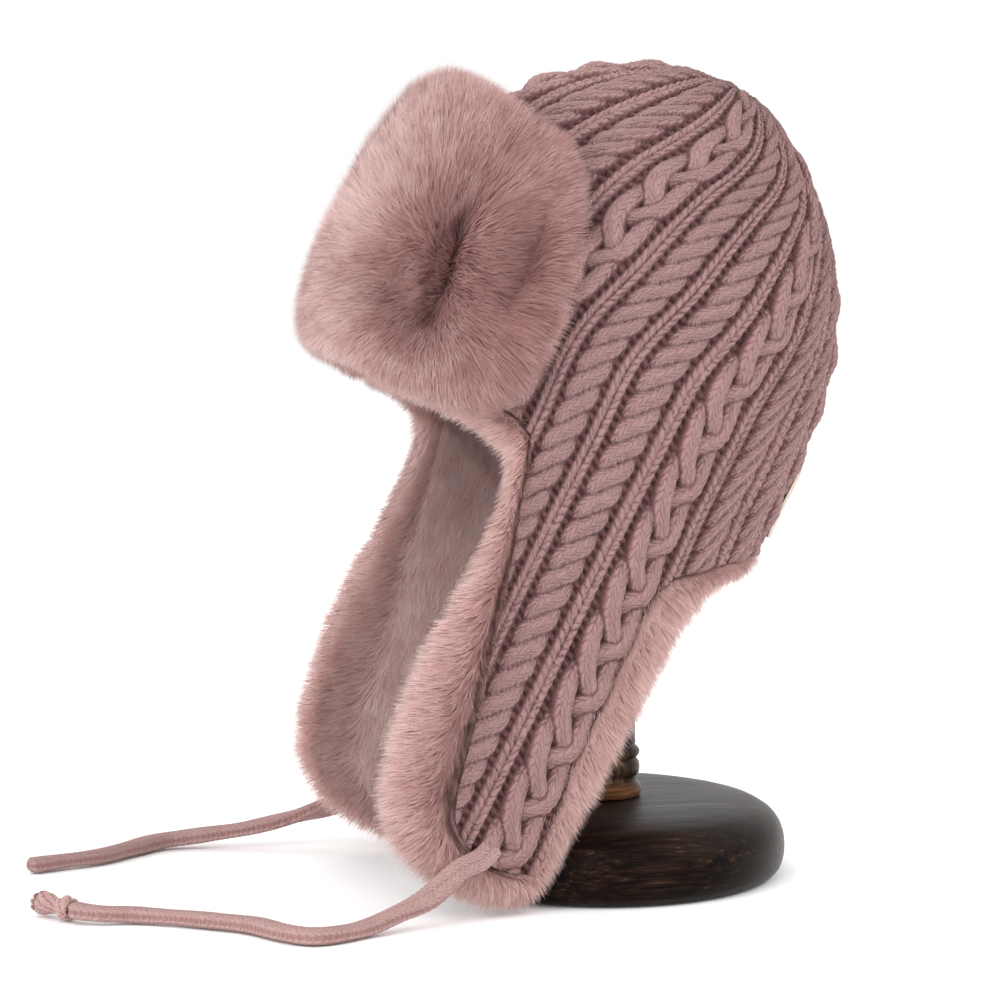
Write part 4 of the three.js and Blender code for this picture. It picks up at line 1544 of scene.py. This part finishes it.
@dataclass
class FurLining:
    """The fur inside the hat, and its border beyond the knit all round the hem.

    In the border's rows next to the knit the pile stands up and leans back over the knit's edge.
    """

    steps: int = 260
    counts: tuple[int, int, int] = (18, 16, 16)
    rows: tuple[int, int] = (20, 22)
    strands: float = 164000.0
    length: float = 0.0115
    under: float = 0.4
    inset: float = 6.0
    stand_up: tuple[float, ...] = (0.9, 0.9, 0.8, 0.4, 0.0)
    lean_away: tuple[float, ...] = (-0.5, -0.35, 0.0, 0.6, 1.0)

    def half(self, name: str, mirror: bool) -> bpy.types.Object:
        """Build half of the lining's skin: hidden back, border, and the inner face that bears pile.

        Args:
            name: The half's name.
            mirror: Whether it is the wearer's right half.

        Returns:
            The half's object.
        """
        skin = Skin()
        columns = CableKnit().columns(self.counts)
        a, b = self.counts[0], self.counts[0] + self.counts[1]
        sheets = []
        for side in ("back", "face"):
            c, d = HAT.crown_grid(columns, self.rows[0])
            fc, fd = HAT.flap_grid(columns[a : b + 1], self.rows[1])
            hidden = HAT.fur_top - self.under
            out = hidden if side == "back" else HAT.fur_inside(d) + self.inset
            low_out = hidden if side == "back" else HAT.fur_inside(fd[1:]) + self.inset - 1.0
            down = unit(HAT.on_column(c, d + 1.0, 0) - HAT.on_column(c, d, 0))
            flap_down = unit(HAT.on_column(fc[1:], fd[1:] + 1.0, 0) - HAT.on_column(fc[1:], fd[1:], 0))
            dense = 0.0 if side == "back" else 0.22 + 0.78 * ease(d, 120, 185)
            flap_dense = 0.0 if side == "back" else 1.0
            # Fixed painted light levels for the lining's inner face, lower in the crown than on the ear
            # flaps.
            crown = skin.add(
                HAT.on_column(c, d, out), comb=down, pile_length=0.8, pile_density=dense, pile_tone=0.2
            )
            low = skin.add(
                HAT.on_column(fc[1:], fd[1:], low_out), comb=flap_down, pile_length=0.9,
                pile_density=flap_dense, pile_tone=0.34,
            )
            flap = np.vstack([crown[-1, a : b + 1][None], low])
            pole = skin.add(
                HAT.on_hat(0, 0, np.ravel(out)[0])[None], comb=[[0, 0, -1]], pile_length=[0.8],
                pile_density=[0.0], pile_tone=[0.1],
            )
            rim = np.concatenate(
                [crown[-1, : a + 1], flap[1:-1, 0], flap[-1], flap[1:-1, -1][::-1], crown[-1, b:]]
            )
            sheets.append((crown, flap, pole[0], rim))
        (crown, flap, pole, rim), (face, face_flap, face_pole, face_rim) = sheets
        skin.fan(pole, crown[0])
        skin.grid(crown)
        skin.grid(flap)
        skin.grid(face[::-1])
        skin.grid(face_flap[::-1])
        skin.fan(face_pole, face[0][::-1])
        s = np.linspace(0, len(EDGE["knit"]) - 1, self.steps + 1)
        knit_c, knit_d = HAT.on_edge("knit", s)
        fur_c, fur_d = HAT.on_edge("fur", s)
        knit_d = np.where((s < FLAP_START) | (s > FLAP_END), HAT.hem_depth(knit_c), knit_d)
        puff = smooth(np.arange(len(EDGE["knit"])), EDGE["puff"], s)
        inside = HAT.fur_inside(knit_d)
        wide = np.linalg.norm(HAT.on_column(fur_c, fur_d, 0) - HAT.on_column(knit_c, knit_d, 0), axis=-1)
        profile = [
            (0.04, 0 * s + HAT.fur_top - self.under), (0.08, 0 * s - 3.4), (0.16, 0.8 * puff - 3.0),
            (0.34, puff - 3.4), (0.5, puff - 4.4), (0.6, puff - 6.5), (0.66, 0 * s - 8.0),
            (0.6, inside + 7.0), (0.4, inside + 6.2), (0.16, inside + self.inset),
        ]
        lines = []
        for k, (share, out) in enumerate(profile):
            c, d = knit_c + (fur_c - knit_c) * share, knit_d + (fur_d - knit_d) * share
            p = HAT.on_column(c, d, out)
            away = unit(HAT.on_column(fur_c, fur_d, out) - HAT.on_column(knit_c, knit_d, out))
            down = unit(HAT.on_column(c, d + 1.0, 0) - HAT.on_column(c, d, 0))
            out_way = unit(HAT.on_column(c, d, out + 1.0) - p)
            flare = 0.5 * ease(s, 16.5, 18)[:, None] if k < 5 else 0.0
            flare = np.maximum(flare, self.stand_up[min(k, 4)])
            comb = unit(away * self.lean_away[min(k, 4)] + down * 0.4 + out_way * flare)
            dense = (2.2 if k < 2 else 1.0) * np.ones_like(s)
            cut = np.clip(0.55 + wide / 45, 0.7, 1.25) * (0.75 if k < 2 else 1.0)
            # Painted shade: the border's fur is darker next to the knit's edge and lighter towards its outer
            # edge.
            lines.append(
                skin.add(p, comb=comb, pile_length=cut, pile_density=dense, pile_tone=0.12 + 0.14 * share)
            )
        skin.strip(rim, lines[0])
        skin.grid(np.stack(lines))
        skin.strip(lines[-1], face_rim)
        return skin.object(name, mirror)

    def dress(self, half: bpy.types.Object, fur: bpy.types.Material, pile: Pile, seed: int) -> None:
        """Grow half of the lining's fur, say what it rides on, and hide the frame's fur lining that it
        replaces.

        Args:
            half: The half's skin.
            fur: Its material.
            pile: What grows the fur.
            seed: What fixes the strands' places.
        """
        pile.plant(
            half, fur, Density=self.strands / surface_area(half), Length=self.length, Width=0.0005, Lay=0.9,
            Wild=0.42, Seed=seed,
        )
        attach(half, "root")
        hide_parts("fur_lining")

    def build(self, pile: Pile) -> list[bpy.types.Object]:
        """Build, grow and dress both halves.

        Args:
            pile: What grows the fur.

        Returns:
            The left and the right half.
        """
        fur = FauxFur("plush_rose_pile", "#ad7f7c", "#e4c0bb", "#fae8e4").material()
        halves = [self.half("lining_left", False), self.half("lining_right", True)]
        for i, half in enumerate(halves):
            self.dress(half, fur, pile, 11 + i)
        return halves


@dataclass
class KnittedTie:
    """A flat knitted cord from the tip of an ear flap to its free end.

    The seam's two points are each a column, a depth and how far it stands out.
    """

    name: str
    route: tuple[tuple[float, float, float], ...]
    side: int
    wide: tuple[float, float] = (11.0, 8.4)
    thick: float = 7.6
    stitch: float = 2.7
    wales: int = 4
    step: float = 1.0
    around: int = 40
    seam: tuple[tuple[float, float, float], ...] = ((17.0, 382.0, -2.0), (14.0, 391.0, 3.2))
    settle: float = 0.3

    def path(self) -> Array:
        """Give the centreline, from the seam on the flap.

        Returns:
            Points a step apart, in millimetres.
        """
        start = HAT.on_column(*np.array(self.seam).T)
        start = start * [self.side, 1, 1]
        keys = np.vstack([start, np.array(self.route, float)])
        keys[:, 2] = keys[:, 2] - self.settle * ease(keys[:, 2], 30, 5)
        gap = np.linalg.norm(np.diff(keys, axis=0), axis=1) ** 0.5
        at = np.concatenate([[0], np.cumsum(gap)])
        fine = np.linspace(0, at[-1], 600)
        line = np.stack([smooth(at, keys[:, k], fine) for k in range(3)], -1)
        run = np.concatenate([[0], np.cumsum(np.linalg.norm(np.diff(line, axis=0), axis=1))])
        even = np.linspace(0, run[-1], int(run[-1] / self.step) + 1)
        return np.stack([np.interp(even, run, line[:, k]) for k in range(3)], -1)

    def build(self, yarn: bpy.types.Material) -> tuple[bpy.types.Object, Array]:
        """Build the cord with its wales of stitches.

        Args:
            yarn: The cord's material.

        Returns:
            The cord's object and its centreline.
        """
        line = self.path()
        tangent = unit(np.gradient(line, axis=0))
        run = np.arange(len(line)) * self.step
        rest = ease(run, 15, 75)[:, None]
        up = unit(np.array([self.side * 1.0, -0.2, 0.25]) * (1 - rest) + np.array([0.0, 0.0, 1.0]) * rest)
        up = unit(up - tangent * np.sum(up * tangent, -1, keepdims=True))
        across = np.cross(tangent, up)
        turn = 2 * math.pi * np.arange(self.around + 1)[None] / self.around
        c, s = np.cos(turn), np.sin(turn)
        share = np.sign(c) * np.abs(c) ** 0.72 / 2
        x = share * (self.wide[0] + (self.wide[1] - self.wide[0]) * ease(run, 60, 190)[:, None])
        z = np.sign(s) * np.abs(s) ** 0.8 * self.thick / 2
        wale = np.broadcast_to(self.wales * (share + 0.5), x.shape)
        row = np.broadcast_to(run[:, None] / self.stitch, x.shape)
        e = np.abs(2 * (wale % 1) - 1)
        leg = np.abs(np.sin(math.pi * (row + e))) * np.sin(math.pi * (0.12 + 0.84 * e))
        end = np.minimum(run, run[::-1])[:, None]
        cap = np.sqrt(np.clip(end / 3.0, 0.02, 1))
        swell = 1 + 0.05 * np.sin(run / 17.0)[:, None] + 0.03 * np.sin(run / 5.3)[:, None]
        grow = (1 + 0.14 * (leg - 0.5)) * cap * swell
        points = (
            line[:, None] + across[:, None] * (x * grow)[..., None] + up[:, None] * (z * grow)[..., None]
        )
        skin = Skin()
        # Painted shade: the cord's colour darkens between its stitch legs.
        numbers = skin.add(points, stitch=np.stack([wale, row], -1), tone=0.42 + 0.3 * leg, calm=1)
        skin.grid(numbers)
        for ring, flip in ((0, 1), (-1, -1)):
            middle = skin.add(line[ring][None], stitch=[[0.3, 0.1]], tone=[0.3], calm=[0])
            skin.fan(middle[0], numbers[ring][::flip])
        obj = skin.object(self.name, uv="stitch")
        face_out(obj)
        self.dress(obj, yarn)
        return obj, line

    def dress(self, cord: bpy.types.Object, yarn: bpy.types.Material) -> None:
        """Give the cord its yarn, and say what it rides on.

        Args:
            cord: The cord's object.
            yarn: Its material.
        """
        cord.data.materials.append(yarn)
        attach(cord, "root")


def face_out(obj: bpy.types.Object) -> None:
    """Merge a closed mesh's doubled points and turn its faces outwards.

    Args:
        obj: The closed piece.
    """
    work = bmesh.new()
    work.from_mesh(obj.data)
    bmesh.ops.remove_doubles(work, verts=work.verts, dist=1e-6)
    bmesh.ops.recalc_face_normals(work, faces=work.faces)
    work.to_mesh(obj.data)
    work.free()


@dataclass
class TieKnot:
    """The knot at the left tie's end, and the ravelled stub of cord beyond it."""

    long: float = 20.5
    profile: tuple[tuple[float, float], ...] = (
        (0.0, 3.6), (0.04, 5.0), (0.14, 5.7), (0.26, 5.7), (0.36, 4.9), (0.42, 4.1), (0.5, 4.0),
        (0.62, 4.6), (0.8, 5.7), (0.95, 6.3), (1.0, 6.0),
    )
    fringe: float = 0.0042
    ends: float = 900.0
    rings: int = 46
    sides: int = 48

    def build(self, end: Array, along: Array, yarn: bpy.types.Material, pile: Pile) -> bpy.types.Object:
        """Build the wrapped knot, the flared stub and its loose ends.

        Args:
            end: Where the cord's centreline stops.
            along: The direction in which it stops.
            yarn: The ties' material.
            pile: What grows the loose ends.

        Returns:
            The knot's object.
        """
        skin = Skin()
        round_it = 2 * math.pi * np.arange(self.sides + 1) / self.sides
        share, turn = np.meshgrid(np.linspace(0, 1, self.rings), round_it, indexing="ij")
        at, radius = zip(*self.profile)
        knot = ease(share, 0.44, 0.38)
        wrap = np.abs(np.sin(1.5 * turn + 11 * share)) ** 0.6
        ply = np.abs(np.sin(4 * turn + 9 * share)) ** 0.7
        r = smooth(at, radius, share) + knot * 1.5 * (wrap - 0.7) + (1 - knot) * 0.8 * (ply - 0.7)
        side = unit(np.cross(along, [0, 0, 1.0]))
        up = np.cross(side, along)
        flat = 1 - 0.12 * ease(share, 0.4, 0.6)
        points = end + along * ((share - 0.06) * self.long)[..., None]
        points = points + side * (r * np.cos(turn))[..., None]
        points = points + up * (r * np.sin(turn) * flat)[..., None]
        uv = np.stack([turn * 1.1 + share * 2, share * 7], -1)
        # Painted shade: the knot's colour darkens in the grooves of its wraps and plies.
        tone = 0.3 + 0.35 * np.where(knot > 0.5, wrap, ply)
        numbers = skin.add(
            points, stitch=uv, tone=tone, calm=1, comb=along, pile_length=1.0, pile_density=0.0
        )
        skin.grid(numbers)
        for ring, flip, dense in ((0, -1, 0.0), (-1, 1, 1.0)):
            rim = points[ring]
            lip = skin.add(
                rim, stitch=[0.3, 0.1], tone=0.3, calm=0, comb=along, pile_length=1.0, pile_density=dense
            )
            middle = skin.add(
                rim[:-1].mean(0)[None], stitch=[[0.3, 0.1]], tone=[0.2], calm=[0], comb=[along],
                pile_length=[1.0], pile_density=[dense],
            )
            skin.fan(middle[0], lip[::flip])
        obj = skin.object("tie_knot", uv="stitch")
        face_out(obj)
        self.dress(obj, yarn, pile)
        return obj

    def dress(self, obj: bpy.types.Object, yarn: bpy.types.Material, pile: Pile) -> None:
        """Grow the loose ends, finish knot and ends, say what they ride on, and hide the frame's knot that
        they replace.

        Args:
            obj: The knot.
            yarn: The ties' material.
            pile: What grows the loose ends.
        """
        loose = FauxFur("loose_yarn_ends", "#8c625f", "#b88e8a", "#d3b0ab", skin_share=0.4).material()
        pile.plant(
            obj, loose, Density=self.ends / surface_area(obj), Length=self.fringe, Width=0.0008,
            Lay=1.6, Wild=0.3, Seed=5,
        )
        obj.data.materials.clear()
        for finish in (yarn, loose):
            obj.data.materials.append(finish)
        rise = np.empty(len(obj.data.vertices))
        obj.data.attributes["rise"].data.foreach_get("value", rise)
        slots = [int(rise[list(polygon.vertices)].max() > 0.5) for polygon in obj.data.polygons]
        obj.data.polygons.foreach_set("material_index", slots)
        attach(obj, "root")
        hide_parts("tie_knot_left")


@dataclass
class Ties:
    """Both ties with the left one's knot."""

    declared_width: float = 0.0096

    def build(self, pile: Pile) -> list[bpy.types.Object]:
        """Args:
            pile: What grows the knot's loose ends.

        Returns:
            The cords and the knot.
        """
        yarn = BulkyYarn("tie_yarn", "#553434", "#93706d", "#b89592", relief=0.0006).material()
        left, left_line = KnittedTie("tie_left_knit", LEFT_ROUTE, 1).build(yarn)
        right, right_line = KnittedTie("tie_right_knit", RIGHT_ROUTE, -1).build(yarn)
        knot = TieKnot().build(left_line[-1], unit(left_line[-1] - left_line[-6]), yarn, pile)
        for obj, line, node, far_end, extra in (
            (left, left_line, "tie_left", "knot", [knot]),
            (right, right_line, "tie_right", "bare", []),
        ):
            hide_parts(node)
        return [left, right, knot]


@dataclass
class NapeTag:
    """The blank woven label over the ribs at the nape, with painted shade on its back and lower edges."""

    angles: tuple[float, float] = (76.0, 104.0)
    depths: tuple[float, float] = (157.0, 194.0)
    stand: float = 3.4
    thick: float = 2.6
    steps: tuple[int, int] = (20, 26)
    cloth: tuple[float, float] = (0.034, 0.037)

    def build(self) -> bpy.types.Object:
        """Build the tag as a thin closed slab with soft edges and a slight curl.

        Returns:
            The tag's object.
        """
        skin = Skin()
        i, j = np.meshgrid(
            np.linspace(0, 1, self.steps[0] + 1), np.linspace(0, 1, self.steps[1] + 1), indexing="ij"
        )
        angle = np.radians(self.angles[0] + (self.angles[1] - self.angles[0]) * i)
        depth = self.depths[0] + (self.depths[1] - self.depths[0]) * j
        curl = 0.6 * np.sin(math.pi * j) * (1 - np.abs(2 * i - 1) ** 3)
        soft = 0.45 * (np.exp(-np.minimum(i, 1 - i) * 50) + np.exp(-np.minimum(j, 1 - j) * 50))
        uv = np.stack([i * self.cloth[0], j * self.cloth[1]], -1)
        sheets, rims = [], []
        # The two upper sheets take the tape's face colour; the two lower ones take the dark colour, as
        # painted shade under the tag.
        for rise, tone in (
            (self.thick - soft, 0.9), (0.7 + 0 * soft, 0.9), (0.6 + 0 * soft, 0.05), (0 * soft, 0.05)
        ):
            grid = skin.add(HAT.on_hat(angle, depth, self.stand + curl + rise), weave=uv, tone=tone)
            sheets.append(grid)
            rims.append(
                np.concatenate([grid[:-1, 0], grid[-1, :-1], grid[:0:-1, -1], grid[0, :0:-1], grid[:1, 0]])
            )
        skin.grid(sheets[0])
        skin.grid(sheets[-1][::-1])
        skin.grid(np.stack(rims))
        obj = skin.object("tag_tape", uv="weave")
        face_out(obj)
        self.dress(obj)
        return obj

    def dress(self, tag: bpy.types.Object) -> None:
        """Give the tag its tape, say what it rides on, and hide the frame's tag that it replaces.

        Args:
            tag: The tag's object.
        """
        tag.data.materials.append(WovenTape("blank_cream_tape", "#ddd4c2", "#5b4740").material())
        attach(tag, "root")
        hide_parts("nape_tag")


@dataclass
class TurnedStand:
    """The hat stand: a heavy foot, a beaded stem and a plain dome inside the hat."""

    sides: int = 96
    foot: tuple[tuple[float, float], ...] = (
        (0, 0), (70, 0), (84, 0.3), (88.4, 1.7), (91.2, 5), (92.6, 9.5), (93, 15), (92.4, 20.5), (90.4, 26),
        (86.6, 30.8), (80, 34.8), (70, 37.2), (56, 38.4), (30, 38.9), (0, 39),
    )
    stem: tuple[tuple[float, float], ...] = (
        (17.4, 64.8), (17.7, 66), (17.5, 70), (17.2, 120), (17.2, 180), (16.9, 280), (16.8, 304), (0, 304),
    )
    beads: tuple[tuple[float, float], ...] = (
        (18.1, 49.4), (19.4, 51), (19.8, 53.5), (19.4, 56), (18.3, 57.7), (17.9, 58.5), (18.5, 59.2),
        (19.6, 60.5), (19.7, 62), (18.6, 63.6), (17.6, 64.4), (17.4, 64.8),
    )
    ring: tuple[tuple[float, float], ...] = (
        (0, 39.3), (19.4, 39.3), (20.4, 40.2), (20.6, 42.5), (20.2, 44.6), (19.2, 45.6), (18.6, 46.6),
        (18.1, 49.4),
    )
    dome: tuple[float, float, float] = (60.0, 304.3, 382.7)
    dome_edge: float = 8.0
    worn_below: float = 0.0475
    crisp: float = 0.35

    def turn(self, name: str, profile: Any) -> bpy.types.Object:
        """Turn a profile on the lathe.

        Args:
            name: The piece's name.
            profile: Radii and heights in millimetres.

        Returns:
            The turned piece.
        """
        keys = np.array(profile, float)
        gap = np.linalg.norm(np.diff(keys, axis=0), axis=1) ** 0.7
        at = np.concatenate([[0], np.cumsum(gap)])
        fine = np.concatenate(
            [np.linspace(at[i], at[i + 1], 4)[:-1] for i in range(len(at) - 1)] + [[at[-1]]]
        )
        r, z = (
            np.interp(fine, at, keys[:, k]) * self.crisp + smooth(at, keys[:, k], fine) * (1 - self.crisp)
            for k in (0, 1)
        )
        turn = 2 * math.pi * np.arange(self.sides + 1)[None] / self.sides
        r = np.maximum(r, 0.0)[:, None]
        points = np.stack([r * np.cos(turn), r * np.sin(turn), z[:, None] + 0 * turn], -1)
        skin = Skin()
        skin.grid(skin.add(points))
        obj = skin.object(name)
        face_out(obj)
        return obj

    def dress(self, obj: bpy.types.Object, node: str, finish: bpy.types.Material) -> None:
        """Give a turned piece its finish, say what it rides on, and hide the frame's node that it replaces.

        Args:
            obj: The turned piece.
            node: The node that it replaces.
            finish: Its material.
        """
        obj.data.materials.append(finish)
        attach(obj, "root")
        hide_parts(node)

    def build(self) -> list[bpy.types.Object]:
        """Turn and dress the stand's pieces.

        Returns:
            The foot, the post and the dome.
        """
        foot = StainedBeech(
            "stained_foot", "#0a0503", "#24160e", "#6b513f", -0.05, (2.083, 100.0, 2.083)
        ).material()
        post = StainedBeech(
            "stained_post", "#150d08", "#3a281d", "#8a6a53", 0.02, (5.263, 5.263, 83.33)
        ).material()
        warm = StainedBeech(
            "worn_ring", "#24150b", "#5a3a23", "#8a623f", 0.03, (16.67, 16.67, 2.0)
        ).material()
        radius, low, high = self.dome
        arc = np.linspace(0, math.pi / 2, 12)
        rise = high - low - self.dome_edge
        dome = [(0, low), (radius - 4, low)]
        dome += [(radius * math.cos(a), low + self.dome_edge + rise * math.sin(a)) for a in arc]
        stem = np.vstack([np.array(self.ring), np.array(self.beads)[1:], np.array(self.stem)[1:]])
        pieces = []
        for name, profile, node, finish in (
            ("foot_disc", self.foot, "stand_base", foot),
            ("post", stem, "stand_stem", post),
            ("head_dome", dome, "stand_dome", post),
        ):
            pieces.append(self.turn(name, profile))
            self.dress(pieces[-1], node, finish)
        shaft = pieces[1].data
        shaft.materials.append(warm)
        for polygon in shaft.polygons:
            polygon.material_index = 1 if polygon.center.z < self.worn_below else 0
        return pieces


def report(pieces: list[bpy.types.Object]) -> int:
    """Log each piece with its triangles.

    Args:
        pieces: The pieces that a class has built.

    Returns:
        The pieces' triangles in all.
    """
    total = 0
    for obj in pieces:
        count = sum(len(p.vertices) - 2 for p in obj.data.polygons)
        total += count
        LOG.info("%s: %d triangles", obj.name, count)
    return total


def main() -> None:
    """Build the studio, the cords first and then every piece of the hat and its stand."""
    logging.basicConfig(level=logging.INFO, format="%(name)s %(message)s")
    LOG.info("the packed frame holds %d nodes", len(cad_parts))
    StudioCamera().build()
    pile = Pile()
    total = report(Ties().build(pile))
    total += report(CableKnit().build())
    total += report(FurLining().build(pile))
    total += report([BrowFlap().build(pile)])
    total += report([NapeTag().build()])
    total += report(TurnedStand().build())
    pile.clear()
    LOG.info("all pieces: %d triangles", total)


if __name__ == "__main__":
    main()
